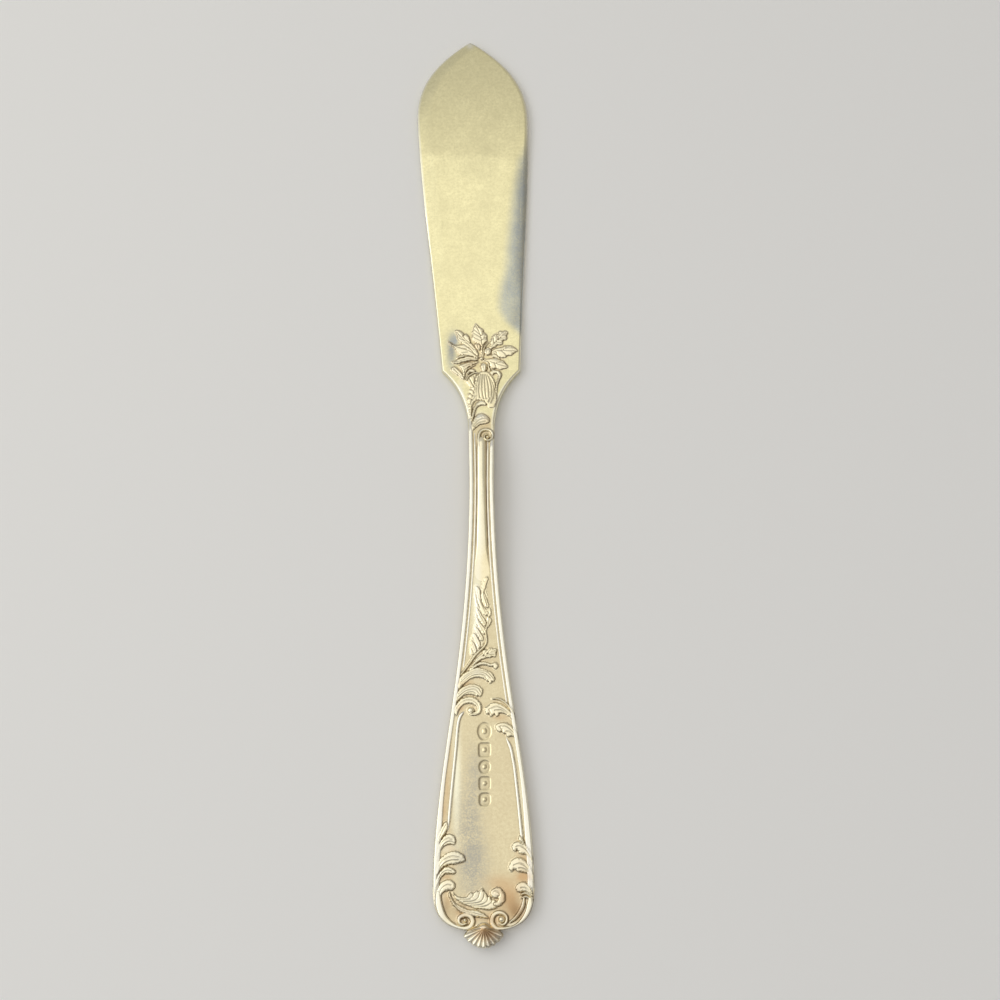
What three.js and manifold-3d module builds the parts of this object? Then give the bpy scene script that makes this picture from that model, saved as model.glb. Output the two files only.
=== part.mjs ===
// A master butter knife in silver plate: a spear-shaped spreading blade with square shoulders, a slim
// threaded stem and a spatulate handle end, with rococo leaves, scrolls and a shell on its upper face.
// Millimetres, +Z up, the tip towards +Y and the cutting edge towards -X. The origin is the middle of the
// knife's box, on the table that the knife lies on.

import * as THREE from "three";
import Module from "manifold-3d";

// Blade. Places along the knife are measured from the parting line, where the blade's neck meets the handle.
const neckLength = 11.6; // parting line to shoulders
const bladeLength = 73.4; // shoulders to tip
const pointLength = 18; // widest place to tip
const neckHalfWidth = 2.5;
const shoulderHalfWidth = 7.6;
const bladeHalfWidth = 11.25;
const tipHalfWidth = 0.2; // the point is a little blunt
const tipLean = 2; // the tip's offset towards the cutting edge
const bladeThickness = 1.4;
const cuttingEdgeThickness = 0.4;
const spineEdgeThickness = 0.9;
const cuttingBevel = 3; // how far the blade thins in from its cutting edge
const spineBevel = 0.6;
const plainBladeLength = 12; // past the shoulders, before the bevels begin
const bevelRunIn = 24; // over which they reach their full width
const bladeRamp = 8; // past the shoulders, where the blade starts to thicken towards the neck

// Handle.
const handleLength = 92.3; // parting line to the end of the handle's tongue
const stemLead = 11; // parting line to the thickest place of the stem, where it starts to widen
const endLength = 7.3; // the rounded end
const panelLength = 42; // the flat end panel, rounded end included
const stemHalfWidth = 2.33;
const endHalfWidth = 8.85;
const stemThickness = 3;
const endThickness = 2;
const stemLift = 1; // the stem arches this far off the table
const underChamfer = 0.45;
const partingGap = 0.06; // solder film between blade and handle

// Mouldings and ornament on the upper face.
const seat = 0.08; // solder film under an ornament
const ornamentGap = 0.3; // clearance where one moulding ends beside another ornament
const rimWidth = 0.75; // outer thread
const rimInset = 0.04;
const rimRise = 0.5;
const threadWidth = 0.35; // inner thread
const threadRise = 0.3;
const threadGap = 0.2; // channel between mouldings
const ribRise = 0.5;
const borderWidth = 0.45; // thread that frames the end panel
const footDepth = 0.5; // of an ornament's foot, before it is cut to its seat
const footRise = 0.18; // of an ornament's upright edge, above the face
const leafRise = 0.5;
const scrollRise = 0.55;
const scrollWidth = 0.8;
const voluteWidth = 0.42;
const voluteEyeRadius = 0.42;
const neckVoluteRadius = 1.25;
const panelVoluteRadius = 1.9;
const leftEndVoluteRadius = 1.3;
const rightEndVoluteRadius = 1.55;
const shellReach = 2.7; // past the end of the handle's tongue
const shellOverlap = 1.9; // from the tongue's end up to the shell's hinge
const shellHalfAngle = THREE.MathUtils.degToRad(54);
const shellRibs = 9;
const shellRise = 0.7;
const shellFlute = 0.22; // depth of the flutes between its ribs
const shellUnderside = 0.3; // height of its lower face above the table
const shellClearance = 0.08; // solder film between shell, tongue and scrolls

// Where mouldings end, measured up the handle from its end.
const ribEnd = 64.3;
const leftThreadEnd = 45.9;
const rightThreadEnd = 40.6;
const leftBorder = { from: 36.6, to: 19.7 };
const rightBorder = { from: 32.5, to: 17.4 };

// Facet counts.
const curveSteps = 32;
const leafSteps = 6;
const threadSteps = 30;
const turnSteps = 12; // in one turn of a volute

const wasm = await Module();
wasm.setup();

const { lerp, smoothstep } = THREE.MathUtils;
const shoulder = neckLength;
const tip = neckLength + bladeLength;
const handleEnd = -handleLength;
const widest = tip - pointLength;
const endStart = handleEnd + endLength;
const panelStart = handleEnd + panelLength;

const pair = (x, y) => new THREE.Vector2(x, y);

// The outline's curves, each drawn as (half-width, place) from the handle's end to the tip.
const endCurve = new THREE.CubicBezierCurve(
  pair(0, handleEnd),
  pair(0.77 * endHalfWidth, handleEnd),
  pair(endHalfWidth, lerp(handleEnd, endStart, 0.29)),
  pair(endHalfWidth, endStart),
);
const flareCurve = new THREE.CubicBezierCurve(
  pair(endHalfWidth, endStart),
  pair(endHalfWidth, lerp(endStart, -stemLead, 0.28)),
  pair(stemHalfWidth, lerp(endStart, -stemLead, 0.53)),
  pair(stemHalfWidth, -stemLead),
);
const stemCurve = new THREE.LineCurve(pair(stemHalfWidth, -stemLead), pair(neckHalfWidth, 0));
const neckCurve = new THREE.CubicBezierCurve(
  pair(neckHalfWidth, 0),
  pair(lerp(neckHalfWidth, shoulderHalfWidth, 0.08), 0.39 * neckLength),
  pair(lerp(neckHalfWidth, shoulderHalfWidth, 0.33), 0.71 * neckLength),
  pair(shoulderHalfWidth, shoulder),
);
const sideCurve = new THREE.CubicBezierCurve(
  pair(shoulderHalfWidth, shoulder),
  pair(lerp(shoulderHalfWidth, bladeHalfWidth, 0.38), lerp(shoulder, widest, 0.38)),
  pair(lerp(shoulderHalfWidth, bladeHalfWidth, 0.97), lerp(shoulder, widest, 0.78)),
  pair(bladeHalfWidth, widest),
);
const pointCurve = new THREE.CubicBezierCurve(
  pair(bladeHalfWidth, widest),
  pair(bladeHalfWidth, lerp(widest, tip, 0.39)),
  pair(0.73 * bladeHalfWidth, lerp(widest, tip, 0.69)),
  pair(tipHalfWidth, tip),
);
const outline = [endCurve, flareCurve, stemCurve, neckCurve, sideCurve, pointCurve].flatMap((curve) =>
  curve.getPoints(curveSteps),
);

// The knife's half-width at a place.
function halfWidth(y) {
  const next = Math.max(1, outline.findIndex((point) => point.y >= y));
  const [before, after] = [outline[next - 1], outline[next]];
  const share = after.y > before.y ? (y - before.y) / (after.y - before.y) : 1;
  return lerp(before.x, after.x, THREE.MathUtils.clamp(share, 0, 1));
}

// The middle line of the blade leans towards the cutting edge.
const middle = (y) => -tipLean * Math.max(0, (y - shoulder) / bladeLength);

// Heights of the underside and of the upper face at a place.
function underside(y) {
  if (y > -stemLead) {
    return stemLift * (1 - smoothstep(y, -stemLead, shoulder));
  }
  return stemLift * smoothstep(y, panelStart, -stemLead);
}

function thickness(y) {
  if (y > -stemLead) {
    return lerp(stemThickness, bladeThickness, smoothstep(y, -stemLead, shoulder + bladeRamp));
  }
  return lerp(endThickness, stemThickness, smoothstep(y, panelStart, -stemLead));
}

const face = (y) => underside(y) + thickness(y);

// A closed geometry whose faces point out, whichever way round its triangles were listed.
function closedGeometry(vertices, triangles) {
  let volume = 0;
  for (const [a, b, c] of triangles) {
    volume += vertices[a].dot(new THREE.Vector3().crossVectors(vertices[b], vertices[c]));
  }
  const index = triangles.flatMap(([a, b, c]) => (volume > 0 ? [a, b, c] : [a, c, b]));
  const geometry = new THREE.BufferGeometry().setFromPoints(vertices);
  geometry.setIndex(index);
  return geometry;
}

// A skin over a row of rings with equal numbers of points, closed by a flat cap at each end.
function loft(rings) {
  const count = rings[0].length;
  const triangles = [];
  for (let ring = 0; ring < rings.length - 1; ring += 1) {
    for (let side = 0; side < count; side += 1) {
      const a = ring * count + side;
      const b = ring * count + ((side + 1) % count);
      triangles.push([a, b, b + count], [a, b + count, a + count]);
    }
  }
  const last = (rings.length - 1) * count;
  for (let side = 1; side < count - 1; side += 1) {
    triangles.push([0, side + 1, side], [last, last + side, last + side + 1]);
  }
  return closedGeometry(rings.flat(), triangles);
}

function solidOf(geometry) {
  return new wasm.Manifold(
    new wasm.Mesh({
      numProp: 3,
      vertProperties: new Float32Array(geometry.getAttribute("position").array),
      triVerts: new Uint32Array(geometry.getIndex().array),
    }),
  );
}

function geometryOf(solid) {
  const mesh = solid.getMesh();
  const geometry = new THREE.BufferGeometry();
  geometry.setAttribute("position", new THREE.BufferAttribute(new Float32Array(mesh.vertProperties), 3));
  geometry.setIndex(new THREE.BufferAttribute(new Uint32Array(mesh.triVerts), 1));
  return geometry;
}

// Blade with its neck: flat below and above, thinned towards both edges past the ornament. A clearance makes
// the same body larger, as the seat that an ornament is cut by.
function bladeGeometry(clearance = 0) {
  const neck = neckCurve.getPoints(8);
  const side = sideCurve.getPoints(16).slice(1);
  const point = pointCurve.getPoints(9).slice(1);
  const rings = [...neck, ...side, ...point].map(({ x: half, y }) => {
    const place = Math.max(y, partingGap - clearance);
    const onBlade = smoothstep(place, shoulder + plainBladeLength, shoulder + plainBladeLength + bevelRunIn);
    const [low, high] = [underside(place) - clearance, face(place) + clearance];
    const core = (low + high) / 2;
    const plain = high - low - 2 * underChamfer;
    const cut = lerp(plain, cuttingEdgeThickness, onBlade) / 2;
    const spine = lerp(plain, spineEdgeThickness, onBlade) / 2;
    const cutIn = Math.min(lerp(underChamfer, cuttingBevel, onBlade), half / 2);
    const spineIn = Math.min(lerp(underChamfer, spineBevel, onBlade), half / 2);
    const reach = half + clearance;
    const [left, right] = [middle(place) - reach, middle(place) + reach];
    return [
      [left, core - cut],
      [left + cutIn, low],
      [right - spineIn, low],
      [right, core - spine],
      [right, core + spine],
      [right - spineIn, high],
      [left + cutIn, high],
      [left, core + cut],
    ].map(([x, z]) => new THREE.Vector3(x, place, z));
  });
  return loft(rings);
}

// Handle: stem, flare and rounded end, with its lower edges eased. It takes a clearance in the same way.
function handleGeometry(clearance = 0) {
  const roundedEnd = endCurve.getPoints(10).slice(1);
  const flare = flareCurve.getPoints(22).slice(1);
  const stem = stemCurve.getPoints(4).slice(1);
  const rings = [...roundedEnd, ...flare, ...stem].map(({ x, y }) => {
    const half = x + clearance;
    const [low, high] = [underside(y) - clearance, face(y) + clearance];
    return [
      [-half, low + underChamfer],
      [underChamfer - half, low],
      [half - underChamfer, low],
      [half, low + underChamfer],
      [half, high],
      [-half, high],
    ].map(([across, z]) => new THREE.Vector3(across, y, z));
  });
  return loft(rings);
}

// A crowned band that follows a spine on the upper face, swelling and tapering from width to width. Its feet
// reach below the face, and the body that it sits on cuts them off.
const crown = [
  [-0.62, 0.8],
  [0, 1],
  [0.62, 0.8],
];

function band(spine, widths, rise, steps = leafSteps, clearance = 0) {
  const path = new THREE.SplineCurve(spine);
  const swell = new THREE.SplineCurve(widths.map((width, i) => pair(i, width)));
  const broadest = Math.max(...widths);
  const rings = [];
  for (let step = 0; step <= steps; step += 1) {
    const at = path.getPoint(step / steps);
    const along = path.getTangent(step / steps);
    const width = swell.getPoint(step / steps).y;
    const height = seat + rise * (0.5 + (0.5 * width) / broadest) + clearance;
    const section = [[-1, -footDepth], [-1, footRise], ...crown.map(([side, lift]) => [side, lift * height])];
    section.push([1, footRise], [1, -footDepth]);
    rings.push(
      section.map(([side, lift]) => {
        const reach = side * (width / 2 + clearance);
        const y = at.y + along.x * reach;
        return new THREE.Vector3(at.x - along.y * reach, y, face(y) + lift);
      }),
    );
  }
  return solidOf(loft(rings));
}

// Bands joined into one ornament and seated on the body that carries it.
const bladeSeat = solidOf(bladeGeometry(seat));
const handleSeat = solidOf(handleGeometry(seat));
const joined = (bands) => bands.reduce((whole, piece) => whole.add(piece));
const onBladeFace = (...bands) => geometryOf(joined(bands).subtract(bladeSeat));
const onHandleFace = (...bands) => geometryOf(joined(bands).subtract(handleSeat));

// A round boss, as a bud, a bead or the eye of a volute.
function boss(centre, radius, rise) {
  const spine = [-0.95, -0.5, 0, 0.5, 0.95].map((along) => pair(centre.x, centre.y + along * radius));
  const widths = [0.62, 1.73, 2, 1.73, 0.62].map((width) => width * radius);
  return band(spine, widths, rise, 4);
}

// Points of a volute that winds in from a radius and heading to its eye. Turn is 1 for left, -1 for right.
function volute(centre, radius, heading, turn, turns) {
  const steps = Math.round(turns * turnSteps);
  return Array.from({ length: steps + 1 }, (_, step) => {
    const angle = heading + (turn * step * 2 * Math.PI) / turnSteps;
    const reach = lerp(radius, voluteEyeRadius, step / steps);
    return pair(centre.x + reach * Math.cos(angle), centre.y + reach * Math.sin(angle));
  });
}

// A scroll: it runs along its lead and winds into a volute with a boss for its eye.
function scroll(lead, leadWidths, centre, radius, heading, turn, turns, clearance = 0) {
  const winding = volute(centre, radius, heading, turn, turns);
  const spine = [...lead, ...winding];
  const taper = winding.map((_, i) => lerp(leadWidths.at(-1), voluteWidth, i / winding.length));
  const widths = [...leadWidths, ...taper];
  const body = band(spine, widths, scrollRise, Math.round(1.5 * spine.length), clearance);
  return body.add(boss(centre, voluteEyeRadius, scrollRise));
}

// Places on the knife: on the blade by distance past the shoulders, on the handle by a share of the
// half-width inside its rim and a distance from its end, and on the rounded end by a share of its greatest
// half-width.
const rim = rimInset + rimWidth + threadGap;
const onBlade = (x, past) => pair(x, shoulder + past);
const fieldHalfWidth = (y) => halfWidth(y) - rim;
const onHandle = (share, fromEnd) => pair(share * fieldHalfWidth(handleEnd + fromEnd), handleEnd + fromEnd);
const onEnd = (share, fromEnd) => pair(share * endHalfWidth, handleEnd + fromEnd);

// Spray of leaves on the root of the blade. Headings are degrees from the tip, towards the spine.
function flowerSpray() {
  const hub = onBlade(0.1, 2.7);
  const leaves = [
    { heading: -9, length: 7, width: 2.1 },
    { heading: -41, length: 7.6, width: 1.5 },
    { heading: -62, length: 7.1, width: 1.8 },
    { heading: -95, length: 5.6, width: 1.1 },
    { heading: -121, length: 4.3, width: 1 },
    { heading: 43, length: 7.4, width: 2 },
    { heading: 76, length: 7, width: 1.9 },
    { heading: 108, length: 5.2, width: 1.5 },
  ].map(({ heading, length, width }) => {
    const angle = THREE.MathUtils.degToRad(heading);
    const reach = pair(length * Math.sin(angle), length * Math.cos(angle));
    const out = (share) => hub.clone().addScaledVector(reach, share);
    return band([0.06, 0.35, 0.7, 1].map(out), [0.45, 0.55 * width, width, 0.25], leafRise);
  });
  const heart = boss(hub, 0.75, 1.1 * leafRise);
  const upperBud = boss(onBlade(1.45, 4), 0.5, leafRise);
  const lowerBud = boss(onBlade(0.4, 1.1), 0.6, leafRise);
  const stalk = band([onBlade(0.4, 1.1), onBlade(0.3, 1.8), onBlade(0.2, 2.4)], [0.5, 0.5, 0.5], leafRise);
  return onBladeFace(...leaves, heart, upperBud, lowerBud, stalk);
}

// Fluted cup that holds the spray, on the neck.
function calyx() {
  const mouth = [onBlade(-2.35, -1.8), onBlade(-1.5, -0.85), onBlade(-0.5, -0.5), onBlade(0.5, -0.6)];
  mouth.push(onBlade(1.5, -0.7), onBlade(2.6, -0.9));
  const flutes = mouth.map((top, i) => {
    const base = onBlade(lerp(-0.8, 1.9, i / (mouth.length - 1)), -6.8);
    const waist = onBlade(lerp(-1, 2.2, i / (mouth.length - 1)), -4.4);
    return band([base, waist, top], [0.6, 0.8, 1], leafRise);
  });
  const lip = [onBlade(2.5, -1.3), onBlade(3.2, -0.4), onBlade(3.6, -1.1), onBlade(3.2, -2)];
  const curl = band(lip, [0.5, 0.6, 0.6, 0.3], leafRise);
  const foot = band([onBlade(-1, -7.5), onBlade(0.6, -6.9), onBlade(2.5, -7)], [0.4, 0.9, 0.5], leafRise);
  return onBladeFace(...flutes, curl, foot);
}

// Slim frond up the left edge of the neck.
function neckFrond() {
  const spine = [onBlade(-2.05, -9.8), onBlade(-2.2, -6.8), onBlade(-2.6, -4), onBlade(-3.6, -1.7)];
  spine.push(onBlade(-5.3, 0.3));
  return onBladeFace(band(spine, [0.35, 0.5, 0.55, 0.6, 0.3], leafRise, 12));
}

// Comma-shaped leaf at the foot of the neck.
function neckLeaf() {
  const spine = [pair(-1.65, 0.8), pair(-1.05, 1.9), pair(0.05, 2.2), pair(1, 1.6)];
  const curl = [pair(-1.5, 1.2), pair(-1.2, 2.8), pair(-0.5, 3.7), pair(0.5, 4)];
  const leaf = band(spine, [0.4, 0.8, 1, 0.4], leafRise);
  return onBladeFace(leaf, band(curl, [0.4, 0.5, 0.5, 0.3], leafRise));
}

// Volute that starts the stem's mouldings, set against the right edge just below the parting line.
const neckVoluteReach = neckVoluteRadius + voluteWidth / 2 + 2 * partingGap;
const neckVoluteCentre = pair(stemHalfWidth - neckVoluteReach, -neckVoluteReach);
const mouldingStart = -2 * neckVoluteReach - ornamentGap;

function neckVolute() {
  const { x, y } = neckVoluteCentre;
  const lead = [pair(x - 1.6, y - 1), pair(x - 1.55, y - 0.2), pair(x - 1.2, y + 0.6)];
  const widths = [0.35, 0.4, 0.45];
  return onHandleFace(scroll(lead, widths, neckVoluteCentre, neckVoluteRadius, 0.7 * Math.PI, -1, 1.5));
}

// Rounded rib between the stem's threads, dying out above the branch.
function stemRib() {
  const [from, to] = [mouldingStart, handleEnd + ribEnd];
  const field = (y) => 2 * (fieldHalfWidth(y) - threadWidth - threadGap);
  const places = [0, 0.25, 0.5, 0.75, 0.9, 1].map((share) => lerp(from, to, share));
  const widths = places.map(field);
  widths[places.length - 1] *= 0.4;
  return onHandleFace(band(places.map((y) => pair(0, y)), widths, ribRise, 14));
}

// A thread that follows the handle's edge at an inset. Side is -1 for left, 1 for right.
function edgeThread(side, inset, width, rise, from, to) {
  const spine = Array.from({ length: threadSteps + 1 }, (_, step) => {
    const y = lerp(from, to, step / threadSteps);
    return pair(side * (halfWidth(y) - inset - width / 2), y);
  });
  return onHandleFace(band(spine, spine.map(() => width), rise, threadSteps));
}

const rimThread = (side, from, to) => edgeThread(side, rimInset, rimWidth, rimRise, from, to);
const innerThread = (side, from, to) => edgeThread(side, rim, threadWidth, threadRise, from, to);

// Laurel branch up the middle of the flare.
function laurelBranch() {
  const stem = [onHandle(-0.32, 48.7), onHandle(0.12, 50), onHandle(0.32, 51.2), onHandle(0.31, 53)];
  stem.push(onHandle(0.45, 55.1), onHandle(0.5, 57), onHandle(0.3, 59.8), onHandle(0.4, 62.6));
  const leaves = [
    [onHandle(0.4, 58), onHandle(0.05, 59.2), onHandle(-0.3, 60.2), onHandle(-0.5, 60.9)],
    [onHandle(0.42, 54), onHandle(0.05, 54.7), onHandle(-0.25, 55.6), onHandle(-0.42, 56.5)],
    [onHandle(0.3, 52.4), onHandle(0.02, 52.9), onHandle(-0.22, 53.6), onHandle(-0.42, 54.4)],
    [onHandle(0.2, 50.5), onHandle(-0.08, 51.1), onHandle(-0.28, 51.7), onHandle(-0.46, 52.4)],
    [onHandle(-0.2, 49.1), onHandle(-0.38, 49.6), onHandle(-0.52, 50.2), onHandle(-0.65, 50.9)],
  ].map((spine) => band(spine, [0.4, 0.8, 0.8, 0.25], leafRise));
  return onHandleFace(band(stem, [0.4, 0.45, 0.45, 0.45, 0.5, 0.6, 0.5, 0.2], leafRise, 18), ...leaves);
}

// Two leaves that flicker out under the branch, towards the right.
function flameLeaves() {
  const root = onHandle(-0.68, 46.2);
  const upper = [root, onHandle(-0.17, 47.5), onHandle(0.3, 48.4), onHandle(0.79, 49.3)];
  const lower = [root, onHandle(-0.14, 46.4), onHandle(0.34, 46.5), onHandle(0.72, 46)];
  const tongue = band(upper, [0.4, 0.9, 1.1, 0.25], leafRise);
  return onHandleFace(tongue, band(lower, [0.4, 0.65, 0.75, 0.25], leafRise));
}

// Plumes that roll over from the left rim above the panel.
function upperPlume() {
  const spine = [onHandle(-0.96, 43.2), onHandle(-0.66, 44.4), onHandle(-0.23, 44.95), onHandle(0.17, 44.5)];
  spine.push(onHandle(0.38, 43.7));
  return onHandleFace(band(spine, [0.5, 1.1, 1.4, 1.2, 0.4], leafRise, 10));
}

function lowerPlume() {
  const spine = [onHandle(-1, 40.5), onHandle(-0.82, 41.4), onHandle(-0.5, 42), onHandle(-0.21, 41.8)];
  spine.push(onHandle(-0.11, 41.1));
  return onHandleFace(band(spine, [0.45, 0.9, 1.1, 0.9, 0.35], leafRise, 10));
}

// Scroll at the panel's upper left corner.
function panelScroll() {
  const lead = [onHandle(-0.98, 38.4), onHandle(-0.9, 39.2), onHandle(-0.69, 39.85)];
  const centre = onHandle(-0.35, 38.4);
  return onHandleFace(scroll(lead, [0.5, 0.6, 0.6], centre, panelVoluteRadius, 0.6 * Math.PI, -1, 1.5));
}

// Acanthus at the panel's upper right corner.
function panelAcanthus() {
  const upper = [onHandle(0.95, 36.8), onHandle(0.93, 38.1), onHandle(0.63, 39.1), onHandle(0.3, 38.7)];
  upper.push(onHandle(0.19, 37.8));
  const lower = [onHandle(0.93, 34.2), onHandle(0.85, 35), onHandle(0.62, 35.3), onHandle(0.47, 34.7)];
  const stalk = [onHandle(0.93, 34.2), onHandle(0.96, 35.5), onHandle(0.95, 36.8)];
  return onHandleFace(
    band(upper, [0.5, 1.1, 1.5, 1.3, 0.4], leafRise, 9),
    band(lower, [0.5, 1, 1.2, 0.4], leafRise),
    band(stalk, [0.5, 0.5, 0.5], leafRise),
  );
}

// Threads that frame the end panel.
function panelBorder(shares, { from, to }) {
  const spine = shares.map((share, i) => onHandle(share, lerp(from, to, i / (shares.length - 1))));
  return onHandleFace(band(spine, spine.map(() => borderWidth), threadRise, 12));
}

// Leaves that curl in from a stalk along the rim of the rounded end.
function sideLeaves(stalk, leaves) {
  return onHandleFace(
    band(stalk, stalk.map(() => 0.5), leafRise, 8),
    ...leaves.map(({ spine, width }) => band(spine, [0.5, 0.9 * width, width, 0.28], leafRise)),
  );
}

function leftSideLeaves() {
  return sideLeaves(
    [onEnd(-0.79, 17.1), onEnd(-0.815, 14.3), onEnd(-0.835, 10.3), onEnd(-0.82, 6.3)],
    [
      { spine: [onEnd(-0.795, 16.3), onEnd(-0.77, 17), onEnd(-0.745, 17.7), onEnd(-0.72, 18.4)], width: 0.6 },
      { spine: [onEnd(-0.815, 13.9), onEnd(-0.745, 15.2), onEnd(-0.655, 15.5), onEnd(-0.565, 15.1)], width: 1.1 },
      { spine: [onEnd(-0.83, 11), onEnd(-0.735, 12), onEnd(-0.565, 12.4), onEnd(-0.375, 12)], width: 1.5 },
      { spine: [onEnd(-0.83, 9), onEnd(-0.757, 10.1), onEnd(-0.665, 10.3), onEnd(-0.555, 9.9)], width: 0.8 },
      { spine: [onEnd(-0.825, 6.5), onEnd(-0.78, 7.4), onEnd(-0.68, 7.8), onEnd(-0.565, 7.6)], width: 1.1 },
    ],
  );
}

function rightSideLeaves() {
  return sideLeaves(
    [onEnd(0.8, 15.8), onEnd(0.825, 13.3), onEnd(0.84, 9.3), onEnd(0.81, 6)],
    [
      { spine: [onEnd(0.825, 13.1), onEnd(0.768, 13.9), onEnd(0.678, 14.2), onEnd(0.576, 14)], width: 1.1 },
      { spine: [onEnd(0.835, 10.3), onEnd(0.768, 11.2), onEnd(0.655, 11.4), onEnd(0.51, 10.9)], width: 1.7 },
      { spine: [onEnd(0.825, 6.3), onEnd(0.81, 7.1), onEnd(0.745, 7.5), onEnd(0.655, 7.3)], width: 0.95 },
    ],
  );
}

// Leaf that sweeps across the rounded end from the left and rolls up at the right.
function endLeaf() {
  const root = onEnd(-0.61, 6);
  const blade = [root, onEnd(-0.475, 4.9), onEnd(-0.28, 4.1), onEnd(-0.1, 3.4), onEnd(0.045, 2.7)];
  const plume = [root, onEnd(-0.43, 5.3), onEnd(-0.18, 5), onEnd(0.07, 4.6), onEnd(0.23, 5)];
  const head = [onEnd(0.215, 5), onEnd(0.26, 6.3), onEnd(0.27, 7.1)];
  return onHandleFace(
    band(blade, [0.4, 0.6, 0.8, 0.7, 0.25], leafRise, 8),
    band(plume, [0.4, 0.9, 1.4, 1.3, 0.6], leafRise, 8),
    band(head, [0.8, 1.9, 0.7], leafRise),
  );
}

// Scrolls that run round the rounded end inside its edge and wind up beside the shell.
function endScroll(side, radius, clearance = 0) {
  const lead = [0.86, 0.74, 0.6, 0.48, 0.38].map((share) => {
    const at = endCurve.getPoint(share);
    const along = endCurve.getTangent(share);
    const inset = rimInset + scrollWidth / 2;
    return pair(side * (at.x - along.y * inset), at.y + along.x * inset);
  });
  const centre = onEnd(side * 0.365, 1.75);
  const heading = side > 0 ? -Math.PI / 4 : (-3 * Math.PI) / 4;
  const widths = [0.5, scrollWidth, scrollWidth, scrollWidth, 0.65];
  return scroll(lead, widths, centre, radius, heading, -side, 1.35, clearance);
}

// Shell that closes the handle: a fluted fan over the tongue and past its end, cut to seat on the handle.
function shell(neighbours) {
  const hinge = pair(0, handleEnd + shellOverlap);
  const reach = shellOverlap + shellReach;
  const top = face(handleEnd) + seat;
  const [rings, spokes] = [6, shellRibs * 4];
  const vertices = [];
  for (let spoke = 0; spoke <= spokes; spoke += 1) {
    const share = (2 * spoke) / spokes - 1;
    const angle = share * shellHalfAngle;
    const flute = 0.5 + 0.5 * Math.cos(Math.PI * (shellRibs * (share + 1) - 1));
    for (let ring = 0; ring <= rings; ring += 1) {
      const out = ring / rings;
      const edge = reach * (1 - 0.12 * share * share - 0.05 * (1 - flute));
      const radius = lerp(0.15 * reach, edge, out);
      const lift = shellRise * Math.sqrt(1 - 0.8 * out * out) - shellFlute * out * (1 - flute);
      const [x, y] = [hinge.x + radius * Math.sin(angle), hinge.y - radius * Math.cos(angle)];
      vertices.push(new THREE.Vector3(x, y, top + lift), new THREE.Vector3(x, y, shellUnderside));
    }
  }
  const at = (spoke, ring, below) => 2 * (spoke * (rings + 1) + ring) + below;
  const triangles = [];
  const quad = (a, b, c, d) => triangles.push([a, b, c], [a, c, d]);
  for (let spoke = 0; spoke < spokes; spoke += 1) {
    for (let ring = 0; ring < rings; ring += 1) {
      quad(at(spoke, ring, 0), at(spoke, ring + 1, 0), at(spoke + 1, ring + 1, 0), at(spoke + 1, ring, 0));
      quad(at(spoke, ring, 1), at(spoke + 1, ring, 1), at(spoke + 1, ring + 1, 1), at(spoke, ring + 1, 1));
    }
    quad(at(spoke, 0, 0), at(spoke + 1, 0, 0), at(spoke + 1, 0, 1), at(spoke, 0, 1));
    quad(at(spoke + 1, rings, 0), at(spoke, rings, 0), at(spoke, rings, 1), at(spoke + 1, rings, 1));
  }
  for (let ring = 0; ring < rings; ring += 1) {
    quad(at(0, ring + 1, 0), at(0, ring, 0), at(0, ring, 1), at(0, ring + 1, 1));
    quad(at(spokes, ring, 0), at(spokes, ring + 1, 0), at(spokes, ring + 1, 1), at(spokes, ring, 1));
  }
  const fan = solidOf(closedGeometry(vertices, triangles));
  return geometryOf(neighbours.reduce((rest, neighbour) => rest.subtract(neighbour), fan));
}

const satinSilver = new THREE.MeshStandardMaterial({ color: 0xd8d0b8, roughness: 0.42, metalness: 1 });
const brightSilver = new THREE.MeshStandardMaterial({ color: 0xe0d8c2, roughness: 0.3, metalness: 1 });
const reliefSilver = new THREE.MeshStandardMaterial({ color: 0xcfc2a4, roughness: 0.36, metalness: 1 });

const knife = new THREE.Group();
function add(name, geometry, material) {
  const mesh = new THREE.Mesh(geometry, material);
  mesh.name = name;
  knife.add(mesh);
}

const rimEnd = endStart - 1.1;
const leftEdge = -1;
const rightEdge = 1;
add("blade", bladeGeometry(), satinSilver);
add("handle", handleGeometry(), brightSilver);
add("flower_spray", flowerSpray(), reliefSilver);
add("calyx", calyx(), reliefSilver);
add("neck_frond", neckFrond(), reliefSilver);
add("neck_leaf", neckLeaf(), reliefSilver);
add("neck_volute", neckVolute(), reliefSilver);
add("stem_rib", stemRib(), brightSilver);
add("rim_thread_left", rimThread(leftEdge, -ornamentGap, rimEnd), brightSilver);
add("rim_thread_right", rimThread(rightEdge, mouldingStart, rimEnd), brightSilver);
add("inner_thread_left", innerThread(leftEdge, mouldingStart, handleEnd + leftThreadEnd), brightSilver);
add("inner_thread_right", innerThread(rightEdge, mouldingStart, handleEnd + rightThreadEnd), brightSilver);
add("laurel_branch", laurelBranch(), reliefSilver);
add("flame_leaves", flameLeaves(), reliefSilver);
add("upper_plume", upperPlume(), reliefSilver);
add("lower_plume", lowerPlume(), reliefSilver);
add("panel_scroll", panelScroll(), reliefSilver);
add("panel_acanthus", panelAcanthus(), reliefSilver);
add("panel_border_left", panelBorder([-0.86, -0.88, -0.88, -0.875, -0.875, -0.87], leftBorder), brightSilver);
add("panel_border_right", panelBorder([0.82, 0.9, 0.905, 0.91, 0.915, 0.925], rightBorder), brightSilver);
add("side_leaves_left", leftSideLeaves(), reliefSilver);
add("side_leaves_right", rightSideLeaves(), reliefSilver);
add("end_leaf", endLeaf(), reliefSilver);
add("end_scroll_left", onHandleFace(endScroll(-1, leftEndVoluteRadius)), reliefSilver);
add("end_scroll_right", onHandleFace(endScroll(1, rightEndVoluteRadius)), reliefSilver);
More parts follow.
